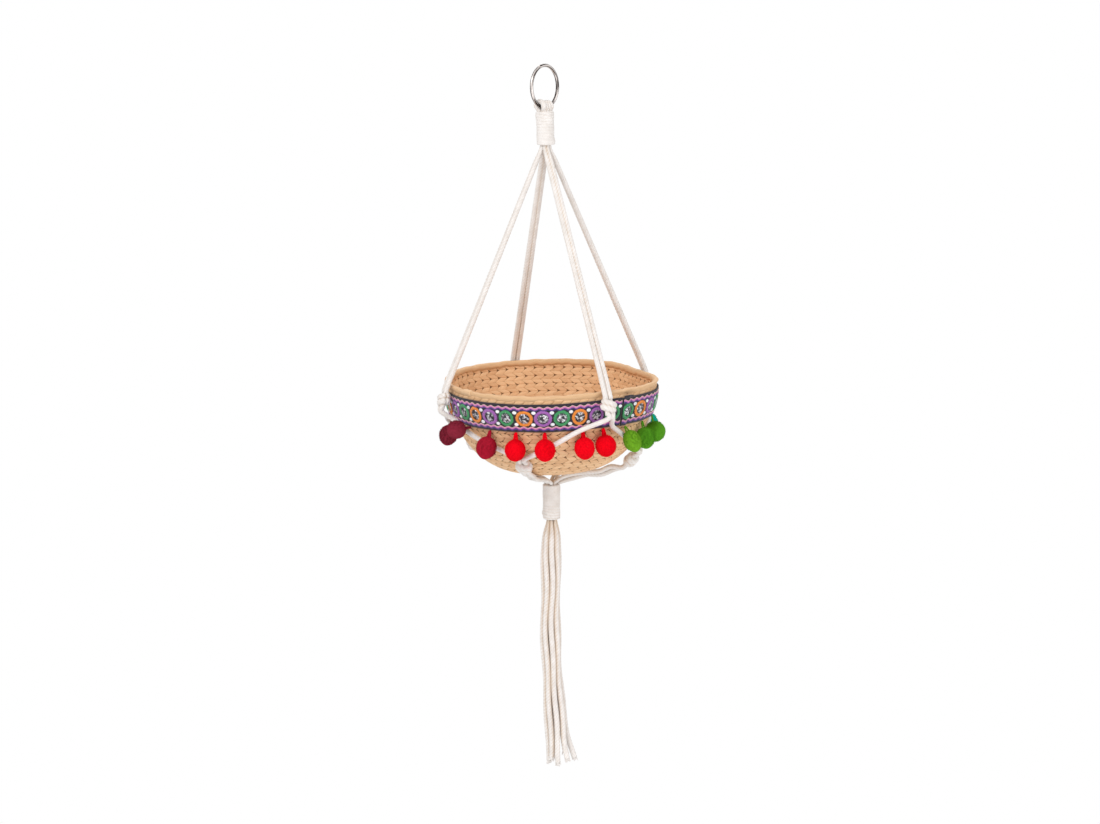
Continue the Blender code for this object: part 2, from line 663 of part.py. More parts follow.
def make_pompom(number, angle, cords):
    obstacles = [(p, TOUCH) for p in wall_points_near(angle)] + [(p, CORD / 2) for p in cords]
    hinge, axis, down, ball = hang_pompom(angle, POMPOM_LEANS.get(number, 0.0), obstacles)
    out = axis.cross(down)
    shape = bmesh.new()
    made = bmesh.ops.create_uvsphere(shape, u_segments=BALL_SEGMENTS, v_segments=BALL_RINGS, radius=BALL / 2)
    bmesh.ops.scale(shape, verts=made["verts"], vec=(1.0, 1.0, BALL_STRETCH))
    turn = Matrix((axis, out, -down)).transposed().to_4x4()
    bmesh.ops.transform(shape, matrix=Matrix.Translation(ball - hinge) @ turn, verts=made["verts"])
    name = f"pompom_{number:02d}"
    piece = add_mesh(name, shape, (pompom_colour(angle), 0.95))
    piece.location = hinge
    path = [axis * (LOOP_WIDTH / 2 * wide) + down * (LOOP_LENGTH * low) for wide, low in LOOP_SHARES]
    loop = bmesh.new()
    skin(loop, round_sections(path, YARN, YARN_SIDES))
    join(piece, f"{name}_loop", loop)
    bpy.data.objects[f"{name}_loop"].location = hinge
    print(f"{name}: hinge {tuple(round(c, 5) for c in hinge)}, axis {tuple(round(c, 5) for c in axis)}")


# Tassel: eight strands below the bottom wrap, each free to swing out
def make_strand(place):
    pair, side_of_pair = place // 2, 2 * (place % 2) - 1
    hinge = seat(LOW_SEAT_TURN, pair, side_of_pair, bottom_wrap_bottom - TOUCH - STRAND_TIP / 2)
    angle = LOW_SEAT_TURN + pair * quarter + side_of_pair * quarter / 4
    side = polar(angle + quarter, 1.0, 0.0)
    rise = Vector((0.0, 0.0, STRAND_TIP / 2))
    top = [hinge + rise, hinge + rise / 2, hinge, hinge - rise * 2]
    route = []
    for level, (z, apart, drift, twist) in enumerate(TASSEL_LEVELS):
        radius = apart + STRAND_FLARES[place] * FLARE_SHARES[level]
        route.append(polar(angle + twist, radius, z - STRAND_DROPS[place] * DROP_SHARES[level])
                     + Vector((drift, 0.0, 0.0)))
    lower = smooth([top[-1]] + route, STRAND_POINTS)[1:]
    tip = STRAND_TIP / CORD
    widths = [tip * STRAND_TIP_SHARES[0], tip * STRAND_TIP_SHARES[1], tip, tip] + [1.0] * len(lower)
    add_tube(f"tassel_strand_{place + 1}", top + lower, widths, CORD, CORD_RESOLUTION, COTTON, origin=hinge)
    print(f"tassel_strand_{place + 1}: hinge {tuple(round(c, 5) for c in hinge)}, "
          f"axis {tuple(round(c, 5) for c in -side)}")


make_ring()
make_crown()
make_wrap("top_wrap", TOP_WRAP_TOP, TOP_WRAP_TURNS)
make_wrap("bottom_wrap", BOTTOM_WRAP_TOP, BOTTOM_WRAP_TURNS)
make_bowl()
make_binding()
make_band()
for leg_place, (leg_name, leg_angle, _) in enumerate(LEGS):
    make_leg(leg_place)
    make_knot(f"rim_knot_{leg_name}", *rim_knot_frame(leg_angle), lean=KNOT_LEAN)
sling_cords = []
for low_place, low_name in enumerate(LOW_KNOT_NAMES):
    sling_cords += make_slings(low_place)
    make_knot(f"low_knot_{low_name}", *low_knot_frame(low_place))
    make_cradle(low_place)
for number, pompom_angle in enumerate(POMPOM_ANGLES, start=1):
    make_pompom(number, pompom_angle, sling_cords)
for strand_place in range(len(STRAND_FLARES)):
    make_strand(strand_place)
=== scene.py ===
# Hanging rope basket: a bowl of plaited leaf slung in knotted cotton cords from a steel ring,
# with a mirror ribbon, felt pompoms and a tassel. Metres, +Z up, and the front faces -Y.
import json
import math

import bpy
import numpy as np
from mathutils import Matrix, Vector


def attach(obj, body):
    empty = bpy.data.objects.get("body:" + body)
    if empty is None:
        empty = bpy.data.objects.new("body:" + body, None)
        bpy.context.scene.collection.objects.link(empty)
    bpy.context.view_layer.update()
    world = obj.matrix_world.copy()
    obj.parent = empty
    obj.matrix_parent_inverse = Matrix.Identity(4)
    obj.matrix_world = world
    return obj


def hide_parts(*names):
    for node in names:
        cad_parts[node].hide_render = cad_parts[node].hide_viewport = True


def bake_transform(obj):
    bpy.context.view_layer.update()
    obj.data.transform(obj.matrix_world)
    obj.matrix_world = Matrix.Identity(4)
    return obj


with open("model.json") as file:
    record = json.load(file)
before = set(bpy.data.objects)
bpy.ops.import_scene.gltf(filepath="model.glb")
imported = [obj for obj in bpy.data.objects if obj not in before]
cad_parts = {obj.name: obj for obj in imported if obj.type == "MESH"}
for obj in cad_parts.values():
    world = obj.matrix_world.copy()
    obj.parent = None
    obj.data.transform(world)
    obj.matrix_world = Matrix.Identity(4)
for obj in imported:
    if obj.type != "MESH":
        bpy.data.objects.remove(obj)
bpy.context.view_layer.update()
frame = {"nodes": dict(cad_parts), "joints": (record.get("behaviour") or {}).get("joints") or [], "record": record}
up = np.array((0.0, 0.0, 1.0))
full, quarter = 2 * math.pi, math.pi / 2
golden = 2.399963  # the turn that spreads points evenly
dice = np.random.default_rng(20)

# Where the basket's parts lie, as in the solids
place = {
    "ringInside": 0.034, "ringWire": 0.003, "ringTurn": math.radians(52),
    "rimTop": -0.2765, "bowlRadius": 0.1010, "baseRadius": 0.0360, "bowlBottom": -0.3594,
    "bowlWall": 0.0040, "bulge": 1.15, "roundness": 1.13, "dentSpread": math.radians(26),
    "bandTop": -0.2830, "bandHeight": 0.0254, "bandThick": 0.0010, "mirrorThick": 0.0005,
    "rimKnotHeight": -0.2875, "lowKnotHeight": -0.3390, "touch": 0.0003,
    "topWrapTop": -0.0384, "topTurns": 10, "bottomWrapTop": -0.3754, "bottomTurns": 11,
    "wrapCord": 0.0023, "wrapPitch": 0.00272, "cord": 0.0045, "tightCord": 0.0030, "tightSpacing": 0.0026,
}
touch, cordWide = place["touch"], place["cord"]
legs = (("right", math.radians(23), 0.0132), ("back", math.radians(108), 0.0020),
        ("left", math.radians(205), 0.0050), ("front", math.radians(300), 0.0080))
presses = [leg[1:] for leg in legs] + [(math.radians(172), 0.0060)]  # where the rim is pressed in
lowNames = ("back_right", "back_left", "front_left", "front_right")


# Camera at the photograph's angle, and soft studio light
def aimed(name, data, at, towards, roll=0.0):
    made = bpy.data.objects.new(name, data)
    bpy.context.scene.collection.objects.link(made)
    made.location = at
    made.rotation_euler = (Vector(towards) - Vector(at)).to_track_quat("-Z", "Y").to_euler()
    made.rotation_euler.rotate_axis("Z", -roll)
    return made


view = {"at": (0.0, -1.9646, 0.0661), "pitch": math.radians(10.8), "roll": math.radians(0.95),
        "lens": 72.33, "sensor": 36.0, "nearest": 0.05}
lens = bpy.data.cameras.new("photoLens")
lens.lens, lens.sensor_width, lens.clip_start = view["lens"], view["sensor"], view["nearest"]
target = (0.0, 0.0, view["at"][2] + view["at"][1] * math.tan(view["pitch"]))
bpy.context.scene.camera = aimed("photoCamera", lens, view["at"], target, view["roll"])

studio = {
    "worldGrey": (0.90, 0.89, 0.88), "worldStrength": 0.74, "aim": (0.0, 0.0, -0.33),
    "lamps": (("key", (-1.2, -1.9, 1.5), 1.2, 34.0), ("fill", (1.9, -1.2, 0.3), 1.8, 13.0),
              ("back", (0.5, 1.8, 1.2), 1.4, 12.0), ("low", (0.1, -1.2, -1.2), 1.4, 6.0)),
    "floorRadius": 0.80, "floorHeight": -1.16, "floorGrey": 0.86,
}
for lampName, lampAt, lampSize, lampPower in studio["lamps"]:
    lamp = bpy.data.lights.new(lampName, "AREA")
    lamp.shape, lamp.size, lamp.energy = "DISK", lampSize, lampPower
    aimed(lampName, lamp, lampAt, studio["aim"])


# Shader maths as plain expressions, and one method for every other node
class Wire:
    def __init__(self, finish, socket):
        self.finish, self.socket = finish, socket

    def __add__(self, other):
        return self.finish.maths("ADD", self, other)

    def __sub__(self, other):
        return self.finish.maths("SUBTRACT", self, other)

    def __rsub__(self, other):
        return self.finish.maths("SUBTRACT", other, self)

    def __mul__(self, other):
        return self.finish.maths("MULTIPLY", self, other)

    __radd__ = __add__
    __rmul__ = __mul__


class Finish:
    def __init__(self, name, world=False, **fixed):
        self.material = (bpy.data.worlds if world else bpy.data.materials).new(name)
        self.material.use_nodes = True
        self.tree = self.material.node_tree
        self.shader = None if world else self.tree.nodes["Principled BSDF"]
        for key, value in fixed.items():
            self.shader.inputs[key.replace("_", " ")].default_value = value

    def feed(self, socket, value):
        if isinstance(value, Wire):
            self.tree.links.new(value.socket, socket)
        elif getattr(socket, "type", "") == "RGBA":
            socket.default_value = (*value[:3], 1.0)
        else:
            socket.default_value = value

    def node(self, kind, settings, sockets, output=0):
        made = self.tree.nodes.new(kind)
        for key, value in settings.items():
            if key == "stops":
                ramp = made.color_ramp
                while len(ramp.elements) < len(value):
                    ramp.elements.new(0.5)
                for stop, (at, shade) in zip(ramp.elements, value):
                    stop.position, stop.color = at, (shade, shade, shade, 1.0)
            else:
                setattr(made, key, value)
        for key, value in sockets.items():
            self.feed(made.inputs[key], value)
        return Wire(self, made.outputs[output])

    def maths(self, operation, first, second):
        return self.node("ShaderNodeMath", {"operation": operation}, {0: first, 1: second})

    def blendOf(self, share, first, second):
        return self.node("ShaderNodeMix", {"data_type": "RGBA"}, {0: share, 6: first, 7: second}, 2)

    def mapped(self, scale=(1.0, 1.0, 1.0), source="Object"):
        coords = self.node("ShaderNodeTexCoord", {}, {}, source)
        return self.node("ShaderNodeMapping", {}, {"Vector": coords, "Scale": scale})

    def noise(self, vector, scale, detail=3.0, rough=0.55):
        return self.node("ShaderNodeTexNoise", {},
                         {"Vector": vector, "Scale": scale, "Detail": detail, "Roughness": rough})

    def ramp(self, value, *stops):
        return self.node("ShaderNodeValToRGB", {"stops": stops}, {"Fac": value})

    def attribute(self, name):
        return self.node("ShaderNodeAttribute", {"attribute_name": name}, {}, 2)

    def colour(self, value):
        self.feed(self.shader.inputs["Base Color"], value)

    def bump(self, height, distance, strength=1.0):
        made = self.node("ShaderNodeBump", {}, {"Height": height, "Distance": distance, "Strength": strength})
        self.feed(self.shader.inputs["Normal"], made)


print("camera and lights are set")


# Finishes; the attribute "tone" is low where a piece lies in a crease or seam, and that darkening is painted
# shade; on the leaf it also carries each strip's random tone
def cottonFinish(dark, light, crease):
    made = Finish("cottonCord", Roughness=0.95, Specular_IOR_Level=0.2, Sheen_Weight=0.2, Sheen_Roughness=0.6)
    fibre = made.noise(made.mapped((420.0, 1500.0, 1.0), "UV"), 1.6, 4.0, 0.65)
    patch = made.noise(made.mapped(), 130.0)
    tone = made.ramp(fibre * 0.55 + patch * 0.45, (0.36, 0.0), (0.60, 1.0))
    # where the tone is low, the crease colour is blended in as painted shade
    clear = made.ramp(made.attribute("tone"), (0.0, 0.0), (0.75, 1.0))
    made.colour(made.blendOf(clear, crease, made.blendOf(tone, dark, light)))
    made.bump(fibre, 0.0005, 0.7)
    return made.material


def leafFinish(name, dark, light, streak, seam=(0.15, 0.055, 0.018)):
    made = Finish(name, Specular_IOR_Level=0.3)
    grain = made.noise(made.mapped((60.0, 2200.0, 1.0), "UV"), 2.0, 4.0, 0.6)
    broad = made.noise(made.mapped((9.0, 300.0, 1.0), "UV"), 1.7, 2.0)
    # low tone is painted shade at the strips' seams and folds, and also each strip's own random tone; the seam
    # colour is the painted shade in the seams
    tone = made.attribute("tone")
    shade = made.ramp(tone * 0.7 + broad * 0.3, (0.40, 0.0), (0.75, 1.0))
    streaks = made.ramp(grain, (0.30, 0.45), (0.50, 0.0))
    strip = made.blendOf(streaks, made.blendOf(shade, dark, light), streak)
    made.colour(made.blendOf(made.ramp(tone, (0.02, 0.0), (0.36, 1.0)), seam, strip))
    made.feed(made.shader.inputs["Roughness"], grain * 0.25 + 0.50)
    made.bump(grain, 0.0004, 0.6)
    return made.material


def threadFinish(name, dark, light):
    made = Finish(name, Sheen_Weight=0.15)
    stitch = made.node("ShaderNodeTexWave", {"wave_type": "BANDS", "bands_direction": "X"},
                       {"Vector": made.mapped((420.0, 1.0, 1.0), "UV"), "Scale": 1.0, "Distortion": 1.4,
                        "Detail": 2.0})
    made.colour(made.blendOf(made.ramp(stitch, (0.10, 0.0), (0.70, 1.0)), dark, light))
    made.feed(made.shader.inputs["Roughness"], 0.62 - stitch * 0.18)
    made.bump(stitch, 0.0003, 0.8)
    return made.material


def feltFinish(name, colour):
    made = Finish(name, Roughness=1.0, Specular_IOR_Level=0.05)
    clump = made.noise(made.mapped(), 640.0, 5.0, 0.7)
    dark = tuple(c * 0.84 for c in colour)
    light = tuple(min(1.0, c * 1.06 + 0.002) for c in colour)
    made.colour(made.blendOf(made.ramp(clump, (0.34, 0.0), (0.56, 1.0)), dark, light))
    made.bump(clump, 0.0010, 0.8)
    return made.material


# Meshes: rings of points swept into skins, with a length and a girth for their texture
# settings of the painted shade in creases and in the grooves between a cord's yarns
creaseShading = {"bite": 0.0004, "reach": 0.0019, "valley": 0.45, "ridge": 0.55, "skip": 3}


def pieceName(node):
    first, *others = node.split("_")
    return first + "".join(word.title() for word in others)


class Shape:
    def __init__(self):
        self.points, self.faces, self.lengths, self.tones, self.cords, self.count = [], [], [], [], [], 0

    def add(self, rings, closed=True, capped=True, lengths=None, tone=0.5):
        rings = np.asarray(rings, float)
        rows, sides = rings.shape[:2]
        index = self.count + np.arange(rows * sides).reshape(rows, sides)
        after = np.roll(index, -1, axis=1) if closed else index[:, 1:]
        before = index if closed else index[:, :-1]
        self.faces += np.stack([before[:-1], after[:-1], after[1:], before[1:]], -1).reshape(-1, 4).tolist()
        if closed and capped:
            self.faces += [index[0, ::-1].tolist(), index[-1].tolist()]
        steps = np.linalg.norm(np.diff(rings.mean(1), axis=0), axis=1)
        along = np.concatenate([[0.0], np.cumsum(steps)]) if lengths is None else np.asarray(lengths)
        girth = np.linalg.norm(rings - np.roll(rings, 1, axis=1), axis=2)[:, 1:]
        across = np.concatenate([np.zeros((rows, 1)), np.cumsum(girth, axis=1)], axis=1)
        self.points.append(rings.reshape(-1, 3))
        shift = dice.random(2) * 0.5
        self.lengths.append(np.stack([np.repeat(along, sides) + shift[0], across.reshape(-1) + shift[1]], -1))
        self.tones.append(np.broadcast_to(tone, (rows, sides)).reshape(-1).astype(float))
        self.count += rows * sides
        return self

    def addCord(self, path, diameter, widths=None, settings=None):
        settings = settings or laid
        self.cords.append((len(self.points), path, diameter / 2, lobesOf(path, settings)[1].reshape(-1)))
        return self.add(cordRings(path, diameter, widths, settings), tone=1.0)

    def crease(self, others=(), least=0.0, reach=creaseShading["reach"]):
        # paints shade onto a cord where it lies against another, and into the grooves between its yarns
        lines = [(k, path, radius) for k, path, radius, _ in self.cords]
        lines += [(-1, path, radius) for path, radius in others]
        for k, _, _, lobes in self.cords:
            gap = np.full(len(self.points[k]), 1.0)
            for other, path, radius in lines:
                if other != k:
                    apart = np.linalg.norm(self.points[k][:, None] - path[None, ::creaseShading["skip"]], axis=2)
                    gap = np.minimum(gap, apart.min(1) - radius)
            clear = np.clip((gap + creaseShading["bite"]) / reach, 0.0, 1.0)
            self.tones[k] = (least + (1 - least) * clear) * (creaseShading["valley"] + creaseShading["ridge"] * lobes)
        return self

    def make(self, name, finish, body, slot, *nodes):
        mesh = bpy.data.meshes.new(name)
        mesh.from_pydata(np.concatenate(self.points).tolist(), [], self.faces)
        corners = np.zeros(len(mesh.loops), np.int32)
        mesh.loops.foreach_get("vertex_index", corners)
        mesh.uv_layers.new(name="UVMap").data.foreach_set("uv", np.concatenate(self.lengths)[corners].ravel())
        mesh.attributes.new("tone", "FLOAT", "POINT").data.foreach_set("value", np.concatenate(self.tones))
        mesh.shade_smooth()
        mesh.materials.append(finish)
        made = bpy.data.objects.new(name, mesh)
        bpy.context.scene.collection.objects.link(made)
        if body:
            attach(made, body)
        if nodes:
            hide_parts(*nodes)
        return made

    def inCotton(self, node, name=None):
        return self.make(name or pieceName(node), cotton, "hanger", "cotton_cord", node)

    def onRibbon(self, name, finish):
        return self.make(name, finish, "hanger", "trim_ribbon")


def around(count):
    return np.linspace(0, full, count, endpoint=False)


def unit(vector):
    return vector / np.linalg.norm(vector)


def pathLength(points):
    return np.concatenate([[0.0], np.cumsum(np.linalg.norm(np.diff(points, axis=0), axis=1))])


def smoothPath(points, spacing):
    given = np.asarray(points, float)
    given = np.concatenate([[2 * given[0] - given[1]], given, [2 * given[-1] - given[-2]]])
    dense = []
    t = np.linspace(0, 1, 24, endpoint=False)[:, None]
    for a, b, c, d in zip(given, given[1:], given[2:], given[3:]):
        dense.append((2 * b + (c - a) * t + (2 * a - 5 * b + 4 * c - d) * t ** 2
                      + (3 * b - a - 3 * c + d) * t ** 3) / 2)
    dense = np.concatenate(dense + [given[-2:-1]])
    along = pathLength(dense)
    even = np.linspace(0, along[-1], max(3, int(round(along[-1] / spacing)) + 1))
    return np.stack([np.interp(even, along, dense[:, k]) for k in range(3)], -1)


# Cords: laid yarns give each a few turning lobes
laid = {"lobes": 4, "depth": 0.15, "pitch": 0.0130, "sides": 20, "spacing": 0.0011}
packed = {"lobes": 3, "depth": 0.06, "pitch": 0.0120, "sides": 18, "spacing": 0.0010}


def carried(points):
    ways = np.gradient(points, axis=0)
    ways /= np.linalg.norm(ways, axis=1)[:, None]
    side = np.cross(ways[0], (0.3, 0.2, 0.93) if abs(ways[0][2]) < 0.9 else (1.0, 0.0, 0.0))
    sides = []
    for way in ways:
        side = unit(side - way * side.dot(way))
        sides.append(side)
    sides = np.array(sides)
    return sides, np.cross(ways, sides)


def lobesOf(points, settings):
    along = pathLength(points)
    turn = around(settings["sides"])[None, :] * np.ones((len(points), 1))
    return turn, np.abs(np.cos(settings["lobes"] / 2 * (turn - (along / settings["pitch"] * full)[:, None])))


def cordRings(points, diameter, widths=None, settings=laid):
    sides, lifts = carried(points)
    turn, lobes = lobesOf(points, settings)
    radius = (1 - settings["depth"] * (1 - lobes)) * diameter / 2
    radius = radius * (1.0 if widths is None else np.asarray(widths)[:, None])
    ring = sides[:, None] * np.cos(turn)[..., None] + lifts[:, None] * np.sin(turn)[..., None]
    return points[:, None] + ring * radius[..., None]


# The bowl's wall, as in the solids
bowlDepth = place["rimTop"] - place["bowlBottom"]


def polar(angle, radius, z):
    return np.stack(np.broadcast_arrays(radius * np.cos(angle), radius * np.sin(angle), z), -1)


def turnBetween(start, end):
    return (end - start + math.pi) % full - math.pi


def dentAt(angle):
    return sum(press * np.exp(-(turnBetween(at, angle) / place["dentSpread"]) ** 2) for at, press in presses)


def wallRadius(angle, z):
    share = np.clip((place["rimTop"] - z) / bowlDepth, 0, 1)
    lift = np.arcsin(share ** (1 / place["bulge"]))
    widening = place["bowlRadius"] - place["baseRadius"]
    return place["baseRadius"] + widening * np.cos(lift) ** place["roundness"] - dentAt(angle) * (1 - share)


def wallPoint(angle, z):
    return polar(angle, wallRadius(angle, z), z)


def wallFrame(angle, z):
    step, rise = math.radians(1), 0.0004
    along = wallPoint(angle + step, z) - wallPoint(angle - step, z)
    along = along / np.linalg.norm(along, axis=-1)[..., None]
    climb = wallPoint(angle, z + rise) - wallPoint(angle, z - rise)
    climb = climb / np.linalg.norm(climb, axis=-1)[..., None]
    out = np.cross(along, climb)
    return along, out / np.linalg.norm(out, axis=-1)[..., None], climb


def offWall(angle, z, distance):
    return wallPoint(angle, z) + wallFrame(angle, z)[1] * np.asarray(distance)[..., None]


ringMean = (place["ringInside"] + place["ringWire"]) / 2
ringCentre = -place["ringInside"] / 2
pairRatio = (place["tightCord"] + touch) / place["tightSpacing"]
seatHalf = math.atan(math.sin(quarter / 2) / (pairRatio + math.cos(quarter / 2)))
seatRadius = place["tightSpacing"] / 2 / math.sin(seatHalf)
wrapRadius = seatRadius + place["tightCord"] / 2 + touch + place["wrapCord"] / 2
topWrapBottom = place["topWrapTop"] - place["topTurns"] * place["wrapPitch"] - place["wrapCord"]
bottomWrapBottom = place["bottomWrapTop"] - place["bottomTurns"] * place["wrapPitch"] - place["wrapCord"]
trimStack = touch + place["bandThick"] + place["mirrorThick"]
bandBottom = place["bandTop"] - place["bandHeight"]
topTurn = place["ringTurn"] + quarter / 2
lowTurn = math.radians(65)


def seat(turn, pair, side, z):
    # a cord's place inside a whipping, where eight lie in four pairs
    return polar(turn + pair * quarter + side * seatHalf, seatRadius, z)


# Tassel: eight free strands below the bottom wrap.
# Each level is a height, the strands' distance from the middle, a drift and a twist.
tassel = {
    "levels": ((-0.428, 0.0064, -0.0006, 0.12), (-0.470, 0.0067, -0.0020, 0.24),
               (-0.520, 0.0069, -0.0028, 0.17), (-0.570, 0.0070, -0.0014, 0.24),
               (-0.610, 0.0074, 0.0004, 0.18), (-0.634, 0.0081, 0.0018, 0.12)),
    "flares": (0.0036, 0.0012, 0.0002, 0.0004, 0.0002, 0.0010, 0.0038, 0.0070),
    "drops": (0.0000, 0.0035, -0.0020, 0.0050, 0.0000, 0.0045, 0.0010, 0.0030),
    "flareShares": (0.0, 0.0, 0.0, 0.08, 0.45, 1.0), "dropShares": (0.0, 0.0, 0.0, 0.0, 0.4, 1.0),
    "tip": 0.0022, "wave": 0.0006, "waveLength": 0.085, "waveStart": 0.03, "creaseReach": 0.0042,
    "widthSteps": (0, 3, 16), "widthBack": (9, 1), "widths": (0.55, 0.66, 1.18, 1.16, 1.16), "root": 0.6,
    "fibres": 17, "fibre": 0.00062, "fray": 0.0052, "fraySeat": 0.40, "frayBite": 0.0012,
    "frayLean": 0.30, "frayStray": 0.10, "fibreWidths": ((0, 1.0), (0.5, 0.95), (0.85, 0.6), (1.0, 0.1)),
}
# the third colour is the painted shade in the creases between cords
cotton = cottonFinish((0.76, 0.71, 0.67), (0.89, 0.855, 0.835), (0.66, 0.50, 0.35))


def strandPath(number):
    pair, side = number // 2, 2 * (number % 2) - 1
    hinge = seat(lowTurn, pair, side, bottomWrapBottom - touch - tassel["tip"] / 2)
    angle = lowTurn + pair * quarter + side * quarter / 4
    route = [hinge + up * tassel["tip"] / 2, hinge - up * tassel["tip"]]
    levels = zip(tassel["levels"], tassel["flareShares"], tassel["dropShares"])
    for (z, apart, drift, twist), flare, drop in levels:
        radius = apart + tassel["flares"][number] * flare
        low = z - tassel["drops"][number] * drop
        route.append(polar(angle + twist, radius, low) + np.array((drift, 0, 0)))
    path = smoothPath(route, laid["spacing"])
    fall = hinge[2] - path[:, 2]
    run = fall * full / tassel["waveLength"]
    sway = tassel["wave"] * np.clip(fall / tassel["waveStart"], 0, 1)
    path[:, 0] += sway * np.sin(run * (1 + 0.05 * number) + 0.5 * number)
    path[:, 1] += sway * np.sin(run * 0.8 + 0.6 * number)
    return path


def makeFray(number, end, way):
    # loose cotton ends below the cut
    shape = Shape()
    corners = [polar(-a, 1.0, 0.0) for a in around(6)]
    for k in range(tassel["fibres"]):
        turn, share = k * golden, math.sqrt((k + 0.5) / tassel["fibres"])
        side = np.array((math.cos(turn), math.sin(turn), 0.0))
        foot = end + side * share * cordWide * tassel["fraySeat"] - way * tassel["frayBite"]
        lean = way + side * (tassel["frayLean"] * share) + tassel["frayStray"] * dice.standard_normal(3)
        run = unit(lean) * tassel["fray"] * (0.55 + 0.45 * dice.random())
        rows = [[foot + run * at + corner * tassel["fibre"] * wide for corner in corners]
                for at, wide in tassel["fibreWidths"]]
        shape.add(rows, tone=0.8 + 0.2 * dice.random())
    return shape.make(f"tasselFray{number + 1}", cotton, f"tassel_strand_{number + 1}", "cotton_cord")


def makeStrand(number, path):
    steps = [*tassel["widthSteps"], *(len(path) - back for back in tassel["widthBack"])]
    widths = np.interp(np.arange(len(path)), steps, tassel["widths"])
    widths[0] *= tassel["root"]
    strandName = f"tassel_strand_{number + 1}"
    shape = Shape().addCord(path, cordWide, widths)
    others = [(other, cordWide / 2) for k, other in enumerate(strandPaths) if k != number]
    # the strands' sides that face each other get painted shade, reaching further than on other cords
    shape.crease(others, reach=tassel["creaseReach"])
    fray = makeFray(number, path[-1], unit(path[-1] - path[-4]))
    strand = shape.make(pieceName(strandName), cotton, None, "cotton_cord", strandName)
    tuple(path[0] + (path[-1] - path[0]) * 0.16)
    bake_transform(strand)


strandPaths = [strandPath(number) for number in range(8)]
for strandNumber, strandLine in enumerate(strandPaths):
    makeStrand(strandNumber, strandLine)
print("tassel is made")


# Steel ring with a slanted split
hoop = {"splitAt": math.radians(116), "split": 0.0022, "slant": 0.0008, "steps": 140, "sides": 18,
        "dark": (0.022, 0.015, 0.012), "light": (0.70, 0.64, 0.61)}
# the near-black streaks in the metal's colour are painted dark reflections along the wire
steel = Finish("steelWire", Metallic=1.0)
streaks = steel.noise(steel.mapped((34.0, 900.0, 1.0), "UV"), 1.0, 3.0, 0.6)
steel.colour(steel.blendOf(steel.ramp(streaks, (0.47, 0.0), (0.55, 1.0)), hoop["dark"], hoop["light"]))
steel.feed(steel.shader.inputs["Roughness"], streaks * 0.25 + 0.16)
steel.bump(steel.noise(steel.mapped(), 900.0), 0.0002, 0.3)
ringWay = np.array((math.cos(place["ringTurn"]), math.sin(place["ringTurn"]), 0.0))


def makeRing():
    gap = hoop["split"] / ringMean / 2
    wire = place["ringWire"] / 2
    thick = np.cross(up, ringWay)
    rows = []
    for step in range(hoop["steps"] + 1):
        share = step / hoop["steps"]
        row = []
        for turn in around(hoop["sides"]):
            slant = hoop["slant"] / ringMean * math.sin(turn) * (2 * abs(share - 0.5)) ** 6
            at = hoop["splitAt"] + gap + slant + (full - 2 * gap) * share
            radius = ringMean + wire * math.cos(turn)
            row.append(ringWay * (radius * math.cos(at)) + up * (ringCentre + radius * math.sin(at))
                       + thick * (wire * math.sin(turn)))
        rows.append(row)
    Shape().add(rows).make("splitRing", steel.material, "ring", "steel", "hanging_ring")


makeRing()


# Cords folded over the ring
crown = {"slack": 0.0002, "pitch": 0.0036, "shift": -0.0016, "cord": 0.0047, "uneven": 0.0003,
         "high": 0.002, "low": 0.012, "least": 0.5}


def makeCrown():
    shape = Shape()
    across = np.array((-math.sin(place["ringTurn"]), math.cos(place["ringTurn"]), 0.0))
    reachOut = place["ringWire"] / 2 + crown["slack"] + crown["cord"] / 2
    low, high = place["topWrapTop"] - crown["low"], place["topWrapTop"] - crown["high"]
    for fold in range(4):
        offset = (1.5 - fold) * crown["pitch"] + crown["shift"]
        wire = ringCentre - math.sqrt(ringMean ** 2 - offset ** 2) + crown["uneven"] * (fold % 2)
        over = [ringWay * offset + across * (reachOut * math.cos(a)) + up * (wire + reachOut * math.sin(a))
                for a in np.linspace(0, math.pi, 9)]
        pair, side = divmod(fold, 2)
        near, far = (pair, 2 * side - 1), (3 - pair, 1 - 2 * side)
        route = [seat(topTurn, *near, low), seat(topTurn, *near, high), *over]
        route += [seat(topTurn, *far, high), seat(topTurn, *far, low)]
        shape.addCord(smoothPath(route, packed["spacing"]), crown["cord"], None, packed)
    shape.crease(least=crown["least"]).inCotton("crown_loops", "crownFolds")


makeCrown()


# Whippings: flat windings pressed together, a little uneven, with a tucked end.
# Each lump is a turn, a depth, a rise and a spread.
whippings = {
    "topWhipping": {"node": "top_wrap", "top": place["topWrapTop"], "turns": place["topTurns"],
                    "grooves": (0.0004, 0.0002),
                    "lumps": ((3.0, 0.0040, 0.0011, 0.0030), (6.1, 0.0265, 0.0009, 0.0030),
                              (4.6, 0.015, 0.0004, 0.006))},
    "bottomWhipping": {"node": "bottom_wrap", "top": place["bottomWrapTop"], "turns": place["bottomTurns"],
                       "grooves": (0.00012, 0.0007),
                       "lumps": ((3.1, 0.0270, 0.0012, 0.0026), (4.4, 0.0270, 0.0005, 0.0040),
                                 (0.3, 0.0060, 0.0005, 0.0050))},
}
winding = {"sides": 97, "step": 0.00022, "bite": 0.0001, "edge": 0.0011, "lid": 0.0035, "lidDepth": 0.0004,
           "wander": 0.12, "uneven": 0.00012, "lidTone": 0.1}


